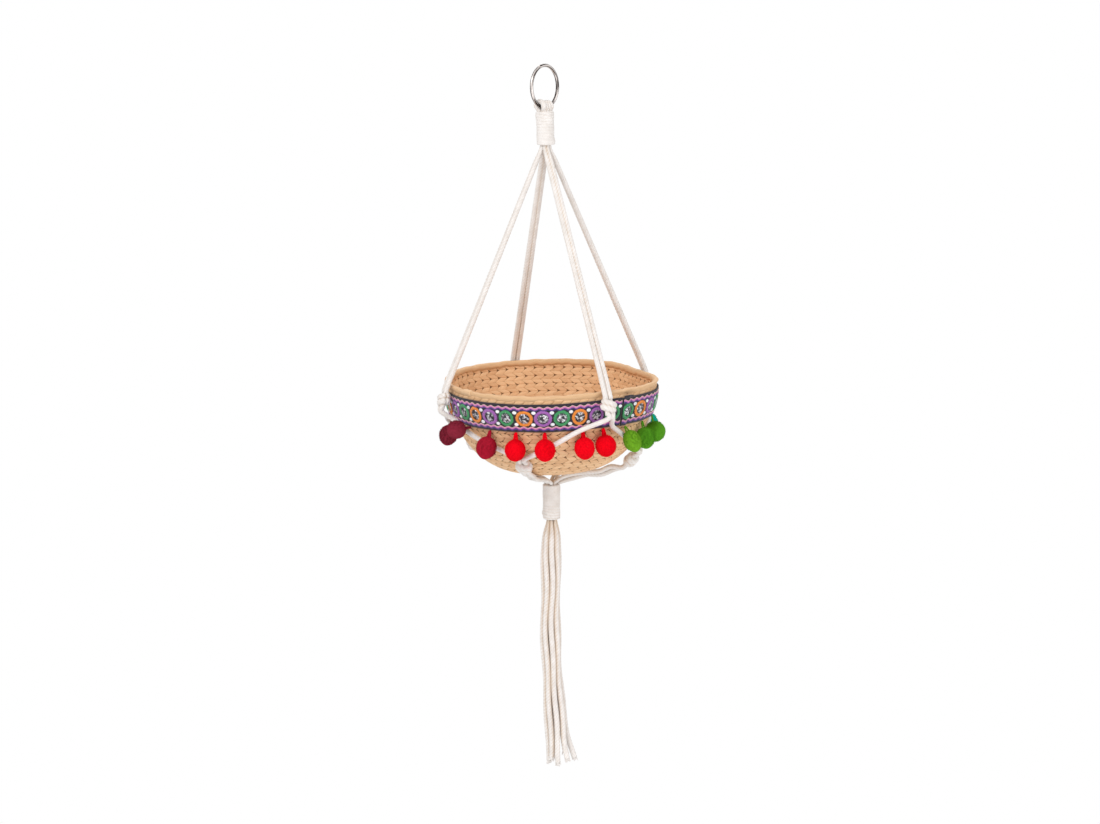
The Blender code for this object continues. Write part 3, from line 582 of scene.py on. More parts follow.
def makeWrap(name, wrap):
    height = wrap["turns"] * place["wrapPitch"] + place["wrapCord"]
    turns = np.linspace(0, full, winding["sides"])[:, None]
    down = np.linspace(0, height, int(height / winding["step"]))[None, :]
    phase = ((down - place["wrapCord"] / 2) / place["wrapPitch"] - turns / full
             + winding["wander"] * np.sin(turns * 2 + down * 260))
    groove = (2 * np.abs(phase % 1 - 0.5)) ** 5
    first, last = wrap["grooves"]
    depth = first + (last - first) * np.clip(down / height * 1.6 - 0.5, 0, 1)
    radius = wrapRadius + place["wrapCord"] / 2 - winding["bite"] - depth * groove
    radius = radius + winding["uneven"] * np.sin(turns * 3 + down * 500)
    for at, deep, rise, spread in wrap["lumps"]:
        apart = turnBetween(at, turns) * wrapRadius
        radius = radius + rise * np.exp(-(apart ** 2 + (down - deep) ** 2) / spread ** 2)
    edge = np.clip(np.minimum(down, height - down) / winding["edge"], 0, 1)
    radius = radius - winding["edge"] * (1 - np.sqrt(1 - (1 - edge) ** 2))
    rows = polar(turns, radius, wrap["top"] - down)
    lids = [polar(turns, radius[:, k] - winding["lid"], wrap["top"] - (down[:, k] + inset))
            for k, inset in ((slice(0, 1), winding["lidDepth"]), (slice(-1, None), -winding["lidDepth"]))]
    # the grooves between turns and the lids at both ends get a low tone, which is painted shade
    tone = np.clip(1.05 - groove * (0.35 + depth * 700), 0.15, 1.0)
    dark = np.full((winding["sides"], 1), winding["lidTone"])
    Shape().add(np.concatenate([lids[0], rows, lids[1]], 1), closed=False,
                tone=np.concatenate([dark, tone, dark], 1)).inCotton(wrap["node"], name)


for whippingName, whipping in whippings.items():
    makeWrap(whippingName, whipping)
print("ring, crown and whippings are made")


# Knots: a pair of cords drawn tight under its own double turn
knot = {"width": 0.0150, "depth": 0.0105, "height": 0.0150, "lean": 0.0025, "run": 0.0030, "tuck": 0.002,
        "cord": 0.0061, "tilt": 0.52, "flat": 0.8, "turns": ((-0.00205, 1.0), (0.00205, 0.96)), "shear": 0.35,
        "cross": 0.0009, "swell": 0.0004, "front": 0.0008, "least": 0.35,
        "drops": (0.0, 0.0, 0.0, 0.0035), "stands": (0.0, 0.0, 0.0, 0.0030)}
pairHalf, slingHalf = 0.0023, 0.0025


def rimKnotFrame(angle):
    out = unit(np.cross(wallFrame(angle, place["rimKnotHeight"])[0], up))
    reachOut = trimStack + touch + knot["depth"] / 2 + knot["lean"] / 2
    return wallPoint(angle, place["rimKnotHeight"]) + out * reachOut, np.cross(up, out), out, up


def lowKnotAngle(number):
    start, end = legs[number][1], legs[(number + 1) % 4][1]
    return start + turnBetween(start, end) / 2


def lowKnotFrame(number):
    angle, z = lowKnotAngle(number), place["lowKnotHeight"] - knot["drops"][number]
    along, out, climb = wallFrame(angle, z)
    return wallPoint(angle, z) + out * (touch + knot["depth"] / 2 + knot["stands"][number]), along, out, climb


def makeKnot(node, pose, lean=0.0, hand=1):
    centre, along, out, climb = pose
    shape = Shape()
    t = np.linspace(0, 1, 14)
    swell = np.sin(math.pi * t)
    height = knot["height"] / 2 * (1 - 2 * t)
    for side in (-1, 1):
        wide = side * (pairHalf + (slingHalf - pairHalf) * t + knot["swell"] * swell)
        deep = knot["cross"] * swell * side * hand - lean * height / knot["height"] * 2
        points = centre + along * wide[:, None] + climb * height[:, None] + out * deep[:, None]
        shape.addCord(smoothPath(points, laid["spacing"]), cordWide)
    turn = np.linspace(0, full, 41)
    wide, deep = (knot["width"] - knot["cord"]) / 2, (knot["depth"] - knot["cord"]) / 2
    for offset, grow in knot["turns"]:
        rise = hand * knot["tilt"] * wide * np.cos(turn) * knot["flat"] + offset
        side = wide * grow * np.cos(turn) - hand * offset * knot["shear"]
        stand = (deep * grow * np.sin(turn) + knot["front"] * np.sin(turn) ** 2 * np.sign(np.sin(turn))
                 - lean * rise / knot["height"])
        points = centre + along * side[:, None] + out * stand[:, None] + climb * rise[:, None]
        shape.addCord(smoothPath(points, laid["spacing"]), knot["cord"])
    shape.crease(least=knot["least"]).inCotton(node)


# Legs: a pair of cords from the top whipping to each rim knot
legPair = {"wide": 1.04, "into": 0.004, "shares": (0.06, 0.2, 0.4, 0.6, 0.8), "least": 0.4,
           "widthAt": (0, 0.03, 0.09, 1), "widths": (0.7, 0.72, 1.0, 1.0)}


def makeLeg(number):
    name, angle, _ = legs[number]
    centre, along, out, climb = rimKnotFrame(angle)
    knotTop = centre - out * knot["lean"] + climb * (knot["height"] / 2 + touch)
    shape = Shape()
    for side in (-1, 1):
        top = seat(topTurn, number - 1, side, topWrapBottom + legPair["into"])
        bend = seat(topTurn, number - 1, side, topWrapBottom - place["tightCord"])
        end = knotTop + along * (side * pairHalf)
        above = end + climb * knot["run"]
        route = [top, bend] + [bend + (above - bend) * s for s in legPair["shares"]]
        path = smoothPath(route + [above, end - climb * knot["tuck"]], laid["spacing"])
        widths = np.interp(np.linspace(0, 1, len(path)), legPair["widthAt"], legPair["widths"])
        shape.addCord(path, cordWide * legPair["wide"], widths)
    shape.crease(least=legPair["least"]).inCotton(f"leg_{name}")


# Slings: single cords parting from a rim knot, down the wall to the two next lower knots.
# The shares are of the turn and of the drop between the knots, for each hand.
sling = {"slack": 0.0004, "ease": 0.0090,
         "shares": {1: ((0.12, 0.20), (0.26, 0.38), (0.50, 0.64), (0.80, 0.90)),
                    -1: ((0.26, 0.21), (0.42, 0.38), (0.62, 0.67), (0.84, 0.92))}}
cordStand = cordWide / 2 + touch + sling["slack"]


def slingPath(leg, low, side):
    centre, along, out, climb = rimKnotFrame(legs[leg][1])
    start = centre + out * knot["lean"] - climb * (knot["height"] / 2 + touch) + along * (side * slingHalf)
    lowCentre, lowAlong, _, lowClimb = lowKnotFrame(low)
    end = lowCentre + lowClimb * (knot["height"] / 2 + touch) - lowAlong * (side * slingHalf)
    fromAngle, fromZ = legs[leg][1], start[2] - knot["run"]
    toZ = place["lowKnotHeight"] - knot["drops"][low] + knot["height"] / 2
    route = [start + climb * knot["tuck"], start - climb * knot["run"]]
    for turnShare, dropShare in sling["shares"][side]:
        angle = fromAngle + turnBetween(fromAngle, lowKnotAngle(low)) * turnShare
        z = fromZ + (toZ - fromZ) * dropShare
        overTrim = min(1.0, max(0.0, (z - bandBottom) / sling["ease"] + 1))
        route.append(offWall(angle, z, cordStand + trimStack * overTrim))
    return smoothPath(route + [end + lowClimb * knot["run"], end - lowClimb * knot["tuck"]], laid["spacing"])


def makeSlings(low):
    for leg, side, hand in ((low, 1, "left"), ((low + 1) % 4, -1, "right")):
        shape = Shape().addCord(slingPath(leg, low, side), cordWide)
        shape.crease().inCotton(f"sling_{lowNames[low]}_{hand}")


# Cradle: pairs of cords under the bowl, gathered into the bottom whipping
cradle = {"wallHeights": (-0.3515, -0.3560), "wallTwists": (0.0, 0.0, 0.2, 1.0),
          "twists": (0.3, -0.3, 0.5, 1.25), "sag": 0.001, "into": 0.008, "least": 0.3,
          "free": ((0.0340, -0.3630), (0.0220, -0.3656), (0.0120, -0.3690), (0.0066, -0.3722)),
          "widthAt": (0, 0.68, 0.88, 1), "widths": (1.0, 1.0, 0.72, 0.68)}


def makeCradle(low):
    angle = lowKnotAngle(low)
    centre, along, _, climb = lowKnotFrame(low)
    lean = cradle["wallTwists"][low]
    shape = Shape()
    for side in (-1, 1):
        start = centre - climb * (knot["height"] / 2 + touch) + along * (side * pairHalf)
        route = [start + climb * knot["tuck"], start - climb * knot["run"]]
        half = side * pairHalf
        stand = cordStand + pairHalf * math.sin(lean) * (1 + side)
        route += [offWall(angle, z - knot["drops"][low] / 2, stand) + along * (half * math.cos(lean))
                  for z in cradle["wallHeights"]]
        for step, (radius, z) in enumerate(cradle["free"]):
            twist = cradle["twists"][low] * math.sin(math.pi * (step + 1) / 5)
            sag = abs(math.sin(twist)) * cradle["sag"]
            apart = along * math.cos(twist) - up * math.sin(twist)
            route.append(polar(angle, radius, z - sag) + apart * half)
        inside = place["bottomWrapTop"] + place["wrapCord"] / 4
        route += [seat(lowTurn, low, side, inside), seat(lowTurn, low, side, inside - cradle["into"])]
        path = smoothPath(route, laid["spacing"])
        widths = np.interp(np.linspace(0, 1, len(path)), cradle["widthAt"], cradle["widths"])
        shape.addCord(path, cordWide, widths)
    shape.crease(least=cradle["least"]).inCotton(f"cradle_{lowNames[low]}")


for legNumber, (legName, legAngle, _) in enumerate(legs):
    makeLeg(legNumber)
    makeKnot(f"rim_knot_{legName}", rimKnotFrame(legAngle), knot["lean"], 1 - 2 * (legNumber % 2))
for lowNumber, lowName in enumerate(lowNames):
    makeSlings(lowNumber)
    makeKnot(f"low_knot_{lowName}", lowKnotFrame(lowNumber), 0.0, 2 * (lowNumber % 2) - 1)
    makeCradle(lowNumber)
print("legs, knots, slings and cradle are made")


# Bowl: herringbone rows of flat leaf strips, inside and out, sewn edge to edge on a core coloured dark as painted
# shade, which shows through the holes
plait = {"outerCell": 0.0085, "innerCell": 0.0094, "core": 0.0009, "outerRow": 0.0092, "innerRow": 0.0074,
         "slip": 0.5, "drift": 0.30, "hole": 0.26, "holeReach": 0.19, "innerSeam": 0.62, "fewest": 5,
         "jump": 2.5, "shade": 0.5, "tilt": 0.14, "stand": 0.30, "coreSides": 120, "coreRows": 60}
# acrossTone and alongTone darken each strip's edges and folds as painted shade in the seams
tile = {"across": (0.0, 0.045, 0.13, 0.5, 0.87, 0.955, 1.0), "along": (0.0, 0.07, 0.2, 0.5, 0.8, 0.93, 1.0),
        "acrossLift": (-0.4, -0.03, 0.07, 0.12, 0.07, -0.03, -0.4),
        "acrossTone": (0.12, 0.9, 1.0, 1.0, 1.0, 0.85, 0.12),
        "alongLift": (-0.22, 0.0, 0.03, 0.05, 0.03, 0.0, -0.12),
        "alongTone": (0.40, 0.9, 1.0, 1.0, 1.0, 0.95, 0.60)}
leaf = leafFinish("palmLeaf", (0.70, 0.40, 0.205), (0.88, 0.575, 0.33), (0.50, 0.265, 0.125))
# the core's dark brown is painted shade seen through the holes in the plait
core = Finish("palmLeafShade", Roughness=0.9)
core.colour(core.blendOf(core.noise(core.mapped(), 300.0), (0.10, 0.045, 0.018), (0.22, 0.10, 0.04)))


def meridian(inset):
    base = place["baseRadius"] - inset
    lift = np.linspace(0, quarter, 300)
    radius = base + (place["bowlRadius"] - inset - base) * np.cos(lift) ** place["roundness"]
    z = place["rimTop"] - (bowlDepth - inset) * np.sin(lift) ** place["bulge"]
    radius = np.concatenate([radius, np.linspace(base, 0.0004, 60)[1:]])
    z = np.concatenate([z, np.full(59, place["bowlBottom"] + inset)])
    return np.concatenate([[0.0], np.cumsum(np.hypot(np.diff(radius), np.diff(z)))]), radius, z


def onMeridian(line, angle, run):
    radius, z = np.interp(run, line[0], line[1]), np.interp(run, line[0], line[2])
    share = np.clip((place["rimTop"] - z) / bowlDepth, 0, 1)
    pressed = np.where(radius > place["baseRadius"] - place["bowlWall"], dentAt(angle) * (1 - share), 0.0)
    return polar(angle, radius - pressed, z)


def raised(line, angle, run, height, inward):
    turn, step = 0.01, 0.0006
    along = onMeridian(line, angle + turn, run) - onMeridian(line, angle - turn, run)
    down = onMeridian(line, angle, run + step) - onMeridian(line, angle, np.maximum(run - step, 0))
    out = np.cross(down, along)
    out = out / np.maximum(np.linalg.norm(out, axis=-1), 1e-12)[..., None] * (-1 if inward else 1)
    return onMeridian(line, angle, run) + out * np.asarray(height)[..., None]


def makePlait(name, inset, rowHeight, cellWidth, inward, seam, *nodes):
    line = meridian(inset)
    shape = Shape()
    across, along = np.array(tile["across"]) - 0.5, np.array(tile["along"])
    acrossLift = np.array(tile["acrossLift"]) * seam
    acrossTone = 1 - (1 - np.array(tile["acrossTone"])) * seam
    facing = slice(None, None, 1 if inward else -1)
    phase, nextPhase, cells = 0.0, 0.0, 0
    for half in range(int(math.ceil(line[0][-1] / rowHeight * 2))):
        upper = half % 2 == 0
        if upper:
            middle = min((half // 2 + 0.5) * rowHeight, line[0][-1] - 0.002)
            wanted = full * np.interp(middle, line[0], line[1]) / cellWidth
            if abs(wanted - cells) > plait["jump"] or wanted < 12:
                cells = max(plait["fewest"], int(round(wanted)))
            phase, nextPhase = nextPhase, nextPhase + plait["drift"] * (2 * dice.random() - 1)
        run = np.clip((half + along) * rowHeight / 2, 0.0, line[0][-1] - 0.0004)
        fold = along if upper else 1 - along
        edgePhase = phase if upper else nextPhase
        foldPhase = (phase + nextPhase) / 2 + plait["slip"]
        width = 1 - plait["hole"] * np.exp(-(fold / plait["holeReach"]) ** 2)
        liftHere = np.interp(fold, along, tile["alongLift"])
        toneHere = np.interp(fold, along, tile["alongTone"])
        for cell in range(cells):
            shade = plait["shade"] + (1 - plait["shade"]) * dice.random()
            tilt = plait["tilt"] * dice.standard_normal() * across[None, :]
            centre = cell + edgePhase + (foldPhase - edgePhase) * fold
            angle = (centre[:, None] + across[None, :] * width[:, None]) / cells * full
            height = (liftHere[:, None] + acrossLift[None, :] + tilt + plait["stand"]) * 0.001
            # each strip's random tone, times painted shade at its seams and folds
            tones = shade * acrossTone[None, :] * toneHere[:, None]
            rows = raised(line, angle, np.broadcast_to(run[:, None], angle.shape), height, inward)
            shape.add(rows[:, facing], closed=False, tone=tones[:, facing])
    return shape.make(name, leaf, "hanger", "palm_leaf", *nodes)


def makeCore():
    turns = around(plait["coreSides"])
    outer, inner = meridian(plait["core"]), meridian(place["bowlWall"] - plait["core"])
    rows = [onMeridian(line, turns, np.full(plait["coreSides"], s)) for line, first, last in
            ((outer, outer[0][-1], 0.0008), (inner, 0.0008, inner[0][-1]))
            for s in np.linspace(first, last, plait["coreRows"])]
    Shape().add(rows).make("plaitCore", core.material, "hanger", "palm_leaf")


makePlait("plaitOutside", plait["core"], plait["outerRow"], plait["outerCell"], False, 1.0, "woven_bowl")
makePlait("plaitInside", place["bowlWall"] - plait["core"], plait["innerRow"], plait["innerCell"], True,
          plait["innerSeam"])
makeCore()
print("bowl is plaited")


# Rim binding: a folded leaf strip, its end lapped over its start. The tones run round its profile.
binding = {"outer": 0.0051, "inner": 0.0040, "thick": 0.0006, "fold": 0.00015, "raggedFold": 0.0014,
           "folds": 60, "slopeOut": 0.0020, "slopeIn": 0.0006, "lapAt": math.radians(225.5),
           "lap": math.radians(9), "lapSteps": (0, 8, 11), "lapLifts": (0.0007, 0.0006, 0.0),
           "tones": (0.42, 0.45, 0.40, 0.42, 0.42, 0.44, 0.48, 0.54, 0.60, 0.62, 0.60, 0.60, 0.60, 0.58,
                     0.58)}
bindingLeaf = leafFinish("palmLeafBinding", (0.68, 0.41, 0.215), (0.83, 0.56, 0.33), (0.54, 0.30, 0.14))


def bindingRings(turns, lifts):
    rows = []
    outer, inner = place["bowlRadius"], place["bowlRadius"] - place["bowlWall"]
    slopeOut, slopeIn = binding["slopeOut"], binding["slopeIn"]
    for angle, lift in zip(turns, lifts):
        pleat = angle * binding["folds"] / full % 1
        thick = binding["thick"] + lift
        outerLow = binding["outer"] + 0.0004 * math.sin(angle * 9) + 0.0003 * math.sin(angle * 31)
        innerLow = binding["inner"] + 0.0004 * math.sin(angle * 11 + 2) + binding["raggedFold"] * pleat
        crimp = binding["fold"] * pleat
        top = place["rimTop"] + lift + (0.00018 * math.sin(angle * 23) + 0.00014 * math.sin(angle * 41 + 1))
        profile = [(outer + 0.0002, -0.0012), (outer - 0.0020, -0.0010), (inner + 0.0006, -0.0012),
                   (inner + 0.0006 - slopeIn, -innerLow), (inner - crimp - slopeIn, -innerLow),
                   (inner - 0.0001 - crimp - slopeIn / 2, -innerLow / 2), (inner - 0.0001, -0.0008),
                   (inner + 0.0008, 0.0), (outer - 0.0018, 0.0003), (outer - 0.0001, 0.0002),
                   (outer + thick, -0.0002), (outer + thick + 0.0003, -0.0009),
                   (outer + thick + 0.0003 - slopeOut / 2, -outerLow / 2),
                   (outer + thick + 0.0002 - slopeOut, -outerLow), (outer + 0.0004 - slopeOut, -outerLow)]
        press = dentAt(angle)
        rows.append([polar(angle, radius - press * (1 + low / bowlDepth), top + low)
                     for radius, low in profile])
    return rows


def makeBinding():
    turns = binding["lapAt"] + around(360)
    shape = Shape().add(bindingRings(np.append(turns, turns[0]), np.zeros(361)), capped=False,
                        tone=np.array(binding["tones"]))
    lapTurns = binding["lapAt"] - np.linspace(0, binding["lap"], 12)
    lapLifts = np.interp(np.arange(12), binding["lapSteps"], binding["lapLifts"])
    shape.add(bindingRings(lapTurns, lapLifts), tone=0.9)
    shape.make("rimBinding", bindingLeaf, "hanger", "palm_leaf_binding", "rim_binding")


makeBinding()
print("rim is bound")


# Trim ribbon, laid flat round the wall, then its embroidery by length along it.
# Each thread line is a shade, a height, half a width and its share of the wave.
trim = {
    "lapAt": math.radians(311.6), "lapEnd": 0.0085, "lapEase": 0.0022, "across": 0.985, "ripple": 0.0002,
    "flapRun": 0.0125, "flapRise": 0.0020, "flapFoot": 0.0010, "flapSteps": 16,
    "flapRows": ((1.0, 0.0023), (0.5, 0.0021), (0.0, 0.0012), (0.0, 0.0006), (0.5, 0.0015), (1.0, 0.0017)),
    "rings": 37, "ringOuter": 0.0072, "ringInner": 0.0046, "stitches": 46, "first": 0.4, "margin": 0.0004,
    "squash": 0.05, "rough": 0.00018, "stitch": 0.00025, "stitchLift": 0.00012, "mirrorOver": 1.05,
    "ringRows": ((0.0, -0.0002), (0.10, 0.0005), (0.5, 0.0008), (0.88, 0.0005), (1.0, -0.0002)),
    "mirrorRows": ((1.0, 0.0001), (0.96, 0.0005), (0.6, 0.00062), (0.05, 0.00068)),
    "dot": (0.00195, 0.00155), "dotHeight": 0.0054, "dotStray": 0.0004,
    "dotRows": ((1.0, -0.0001), (0.92, 0.0004), (0.6, 0.0006), (0.08, 0.0007)),
    "wave": 0.0071, "swing": 0.00065, "colours": ("green", "orange", "purple"),
    # the peach lines are painted highlight along the top of each pink wave, and the violet lines painted shadow
    # beneath it
    "lines": (("pink", 0.0092, 0.0009, 1.0), ("peach", 0.0101, 0.00025, 1.0),
              ("violet", 0.0078, 0.0006, 0.8), ("pink", -0.0088, 0.0009, 1.0),
              ("peach", -0.0080, 0.00025, 1.0), ("violet", -0.0103, 0.0008, 0.8)),
    "lineRows": ((1.0, -0.0002), (0.75, 0.00028), (0.0, 0.00045), (-0.75, 0.00028), (-1.0, -0.0002)),
}
# the peach and violet threads are painted highlight and painted shadow on the pink waves
threads = {"pink": ((0.50, 0.10, 0.38), (0.80, 0.26, 0.62)), "peach": ((0.85, 0.50, 0.40), (1.0, 0.76, 0.62)),
           "violet": ((0.035, 0.015, 0.13), (0.10, 0.05, 0.30)),
           "green": ((0.02, 0.20, 0.07), (0.05, 0.40, 0.13)),
           "orange": ((0.75, 0.17, 0.01), (0.98, 0.33, 0.03)),
           "purple": ((0.24, 0.06, 0.32), (0.47, 0.16, 0.55)),
           "white": ((0.70, 0.72, 0.76), (0.92, 0.93, 0.95))}
threadFinishes = {name: threadFinish(f"{name}Thread", *pair) for name, pair in threads.items()}
ground = Finish("ribbonGround", Roughness=0.85, Sheen_Weight=0.2)
weave = ground.node("ShaderNodeTexWave", {"wave_type": "BANDS", "bands_direction": "X"},
                    {"Vector": ground.mapped((260.0, 260.0, 1.0), "UV"), "Scale": 1.0, "Distortion": 0.8})
ground.colour(ground.blendOf(weave, (0.006, 0.004, 0.010), (0.022, 0.016, 0.032)))
ground.bump(weave, 0.0003, 0.6)
bandMiddle, bandHalf = place["bandTop"] - place["bandHeight"] / 2, place["bandHeight"] / 2
bandTurns = trim["lapAt"] + np.linspace(0, full, 2881)
bandRun = pathLength(wallPoint(bandTurns, np.full(2881, bandMiddle)))
bandLength = float(bandRun[-1])


def onBand(run, rise, lift):
    run, rise, lift = np.broadcast_arrays(*(np.asarray(value, float) for value in (run, rise, lift)))
    angle = np.interp(run, bandRun, bandTurns)
    over = (place["bandThick"] + touch) * np.clip((trim["lapEnd"] - run) / trim["lapEase"], 0, 1)
    ripple = trim["ripple"] * np.sin(run * 190) * np.sin(rise * 160)
    return offWall(angle, bandMiddle + rise * trim["across"], touch + lift + over + ripple)


def onFace(run, rise, lift):
    return onBand(run, rise, place["bandThick"] + lift)


def withinBand(run):
    return np.clip(run, trim["margin"], bandLength - trim["margin"])


def makeBand():
    runs = np.linspace(0, bandLength, 721)
    heights = np.linspace(bandHalf, -bandHalf, 13)
    face = [onBand(runs, h, place["bandThick"]) for h in heights]
    back = [onBand(runs, h, 0.0) for h in heights[::-1]]
    shape = Shape().add(np.stack(face + back, 1))
    return shape.make("trimRibbon", ground.material, "hanger", "trim_ribbon", "trim_band")


def makeRibbonFlap():
    # the lapped start stands up a little over the rim
    runs = np.linspace(0.0005, trim["flapRun"], trim["flapSteps"])
    foot = trim["flapFoot"]
    tall = foot + trim["flapRise"] * np.sin(math.pi * np.linspace(0.12, 1.0, trim["flapSteps"])) ** 0.5
    rows = [onBand(runs, bandHalf - foot + tall * share, lift) for share, lift in trim["flapRows"]]
    return Shape().add(np.stack(rows, 1)).onRibbon("ribbonFlap", ground.material)


def makeWaves():
    runs = np.linspace(0.0006, bandLength - 0.0004, 1300)
    wave = trim["swing"] * np.sin(full * runs / trim["wave"])
    ragged = 1 + 0.12 * np.sin(runs * 2900) + 0.08 * np.sin(runs * 1700)
    # pink waves, with a painted highlight line above and a painted shadow line below
    for shade in ("pink", "peach", "violet"):
        shape = Shape()
        for lineShade, rise, half, share in trim["lines"]:
            if lineShade == shade:
                rows = [onFace(runs, rise + wave * share + half * side * ragged, lift)
                        for side, lift in trim["lineRows"]]
                shape.add(np.stack(rows, 1), closed=False)
        shape.onRibbon(f"{shade}Wave", threadFinishes[shade])


def makeRings():
    pitch = bandLength / trim["rings"]
    turn, circle = around(trim["stitches"] * 2), around(28)
    stitch = np.where(np.arange(len(turn)) % 2, 1.0, 0.0)
    shapes = {shade: Shape() for shade in trim["colours"]}
    mirrors, dots = Shape(), Shape()
    for number in range(trim["rings"]):
        middle = (number + trim["first"]) * pitch
        squash = 1 + trim["squash"] * dice.standard_normal()
        rough = trim["rough"] * dice.standard_normal(len(turn))
        rows = []
        for share, lift in trim["ringRows"]:
            radius = trim["ringInner"] + (trim["ringOuter"] - trim["ringInner"]) * share
            ragged = trim["stitch"] * stitch * (1 if share > 0.5 else -1) + rough
            radius = radius + ragged * (1.0 if share in (0.0, 1.0) else 0.4)
            rows.append(onFace(withinBand(middle + radius * np.cos(turn) * squash), radius * np.sin(turn),
                               lift + trim["stitchLift"] * stitch))
        shapes[trim["colours"][number % 3]].add(
            np.stack(rows, 1)[np.r_[0:len(turn), 0]], closed=False,
            lengths=np.linspace(0, trim["ringOuter"] * full, len(turn) + 1))
        radius = trim["ringInner"] * trim["mirrorOver"]
        mirrors.add([onFace(withinBand(middle + radius * share * np.cos(circle)),
                            radius * share * np.sin(circle), lift) for share, lift in trim["mirrorRows"]])
        for rise in (trim["dotHeight"], -trim["dotHeight"]):
            centre = middle + pitch / 2 + trim["dotStray"] * dice.standard_normal()
            if centre < bandLength - 0.002:
                dots.add([onFace(centre + trim["dot"][0] * share * np.cos(circle),
                                 rise + trim["dot"][1] * share * np.sin(circle), lift)
                          for share, lift in trim["dotRows"]])
    for shade, made in shapes.items():
        made.onRibbon(f"{shade}Rings", threadFinishes[shade])
    glass = Finish("sewnMirror", Metallic=1.0, Roughness=0.12)
    crumple = glass.noise(glass.mapped(), 420.0, 3.0, 0.6)
    # the dark and bright patches in the mirrors' colour are painted reflections
    paintedReflection = glass.ramp(crumple, (0.46, 0.0), (0.62, 1.0))
    glass.colour(glass.blendOf(paintedReflection, (0.05, 0.05, 0.06), (0.70, 0.71, 0.74)))
    glass.bump(crumple, 0.0022, 1.0)
    mirrors.onRibbon("sewnMirrors", glass.material)
    dots.onRibbon("whiteDots", threadFinishes["white"])


ribbon = makeBand()
makeWaves()
makeRings()
makeRibbonFlap()
print(f"ribbon of {bandLength:.3f} m is trimmed")


# Pompoms: fuzzy balls on double yarn loops, each where its solid hangs.
# A form is a ball's width, depth and height against a round one. Some colours and balls have their own.
pompom = {
    "ball": 0.0180, "stretch": 1.04, "seam": 0.0006, "rings": 26, "sides": 40, "wobble": 0.030,
    "uneven": 0.012, "skin": 0.985, "point": 0.07, "pointReach": 0.55, "form": (0.985, 0.985, 1.07),
    "forms": {"felt_lime": (0.84, 0.86, 1.07), "felt_green": (0.90, 0.98, 1.03),
              "pompom_08": (0.93, 0.93, 0.99), "pompom_11": (0.91, 0.91, 1.00),
              "pompom_12": (0.88, 0.88, 0.95)},
    "tints": {"felt_lime": (0.72, 0.93, 0.65), "felt_green": (1.10, 0.85, 0.38),
              "felt_red": (0.94, 0.45, 0.42)},
    "tufts": 420, "tuft": 0.0009, "tuftWidth": 0.00055, "tuftStray": 0.55, "tuftTip": 0.12,
    "tuftFoot": 0.95, "tuftSpin": 0.3, "tuftCorners": (0, 2.09, 4.19),
    "loop": 0.0046, "yarn": 0.0023, "openYarn": 0.0015, "loopWidth": 0.0022, "openWidth": 0.0030,
    "open": ("felt_lime", "felt_green"), "yarnLay": {"lobes": 2, "depth": 0.25, "pitch": 0.004, "sides": 10},
    "loopPath": ((-1.1, 1.5), (-1.0, 1.0), (-0.72, 0.5), (-0.42, 0.12), (0.0, 0.0), (0.42, 0.12), (0.72, 0.5),
                 (1.0, 1.0), (1.1, 1.5)),
}
record = frame["record"]
feltColours = {m["slot"]: m["base_color"][:3] for m in record["materials"] if m["slot"].startswith("felt")}
for feltName, tint in pompom["tints"].items():
    feltColours[feltName] = tuple(c * t for c, t in zip(feltColours[feltName], tint))
feltFinishes = {name: feltFinish(name.replace("_", ""), colour) for name, colour in feltColours.items()}
slotOf = {s["node"]: s["material_slot"] for s in record["subparts"]}


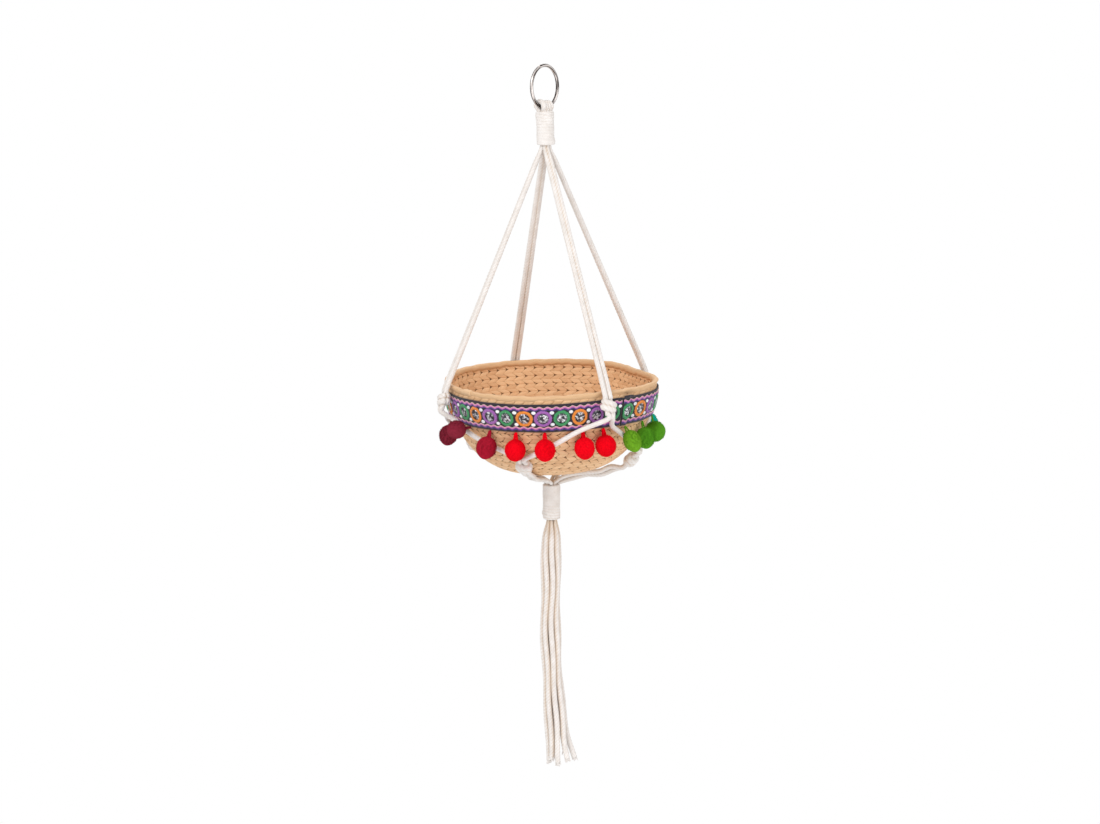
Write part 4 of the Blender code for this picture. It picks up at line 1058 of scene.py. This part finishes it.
def makePompom(node, joint):
    hinge, axis = np.array(joint["pos_m"]), np.array(joint["axis"])
    offsets = np.array([v.co for v in frame["nodes"][node].data.vertices]) - hinge
    down = unit(offsets[np.linalg.norm(offsets, axis=1) > pompom["loop"] + 0.003].mean(0))
    out = np.cross(down, axis)
    half = pompom["ball"] / 2
    ball = hinge + down * (pompom["loop"] + pompom["seam"] + touch + pompom["ball"] * pompom["stretch"] / 2)
    slot = slotOf[node]
    shape = Shape()
    lon = around(pompom["sides"])
    wobble = dice.standard_normal(6) * pompom["wobble"]
    form = np.array(pompom["forms"].get(node) or pompom["forms"].get(slot, pompom["form"]))
    form = form * (1 + pompom["uneven"] * dice.standard_normal(3))
    rows = []
    for angle in np.linspace(0.02, math.pi - 0.02, pompom["rings"]):
        level = math.sin(angle)
        bumps = (1 + wobble[0] * math.cos(2 * angle) + wobble[1] * np.cos(lon + wobble[2] * 99) * level
                 + wobble[3] * np.cos(3 * lon + wobble[4] * 99) * level ** 2)
        radius = half * bumps * pompom["skin"]
        radius = radius * (1 + pompom["point"] * math.exp(-((math.pi - angle) / pompom["pointReach"]) ** 2))
        rows.append(ball - down * (radius * math.cos(angle) * form[2])[:, None]
                    + axis * (radius * level * np.cos(lon) * form[0])[:, None]
                    + out * (radius * level * np.sin(lon) * form[1])[:, None])
    shape.add(rows)
    for k in range(pompom["tufts"]):
        height = 1 - 2 * (k + 0.5) / pompom["tufts"]
        spin = k * golden + pompom["tuftSpin"] * dice.random()
        level = math.sqrt(1 - height * height)
        across, deep = level * math.cos(spin), level * math.sin(spin)
        way = -down * height + axis * across + out * deep
        skin = -down * height * form[2] + axis * (across * form[0]) + out * (deep * form[1])
        skin = skin * pompom["ball"] / 2
        foot = ball + skin * pompom["tuftFoot"]
        tilt = way + pompom["tuftStray"] * (dice.random(3) - 0.5)
        tip = ball + skin + unit(tilt) * pompom["tuft"] * (0.35 + 0.5 * dice.random())
        side = unit(np.cross(way, axis + 0.1))
        lift = np.cross(way, side)
        base = [foot + (side * math.cos(a) + lift * math.sin(a)) * pompom["tuftWidth"]
                for a in pompom["tuftCorners"]]
        shape.add([base, [tip + (p - foot) * pompom["tuftTip"] for p in base]])
    isOpen = slot in pompom["open"]
    loopHalf = pompom["openWidth" if isOpen else "loopWidth"] / 2
    path = [hinge + axis * (loopHalf * wide) + down * (pompom["loop"] * low)
            for wide, low in pompom["loopPath"]]
    yarn = pompom["openYarn" if isOpen else "yarn"]
    shape.add(cordRings(smoothPath(path, 0.0006), yarn, None, pompom["yarnLay"]))
    shape.make(pieceName(node), feltFinishes[slot], node, slot, node)


joints = {j["child"]: j for j in frame["joints"]}
for pompomNode in sorted(n for n in frame["nodes"] if n.startswith("pompom")):
    makePompom(pompomNode, joints[pompomNode])
print("pompoms are made")


# Floor and surround: white to the camera, plain and pale to the light
surround = Finish("studioWorld", world=True)
bpy.context.scene.world = surround.material
lit = surround.node("ShaderNodeBackground", {},
                    {"Color": studio["worldGrey"], "Strength": studio["worldStrength"]})
seen = surround.node("ShaderNodeBackground", {}, {"Color": (1.0, 1.0, 1.0), "Strength": 1.0})
rays = [surround.node("ShaderNodeLightPath", {}, {}, name)
        for name in ("Is Camera Ray", "Is Glossy Ray", "Is Transmission Ray")]
toEye = surround.maths("MAXIMUM", surround.maths("MAXIMUM", rays[0], rays[1]), rays[2])
mixed = surround.node("ShaderNodeMixShader", {}, {0: toEye, 1: lit, 2: seen})
surround.feed(surround.tree.nodes["World Output"].inputs["Surface"], mixed)

floorRings = [polar(around(96), r, studio["floorHeight"]) for r in (studio["floorRadius"], 0.0001)]
floorFinish = Finish("paleFloor", Roughness=0.9, Base_Color=(*[studio["floorGrey"]] * 3, 1.0))
floorMesh = Shape().add(floorRings, capped=False).make("studioFloor", floorFinish.material, None, "steel")

bpy.context.scene.view_settings.view_transform = "Standard"
bpy.context.view_layer.update()


print("scene is complete")
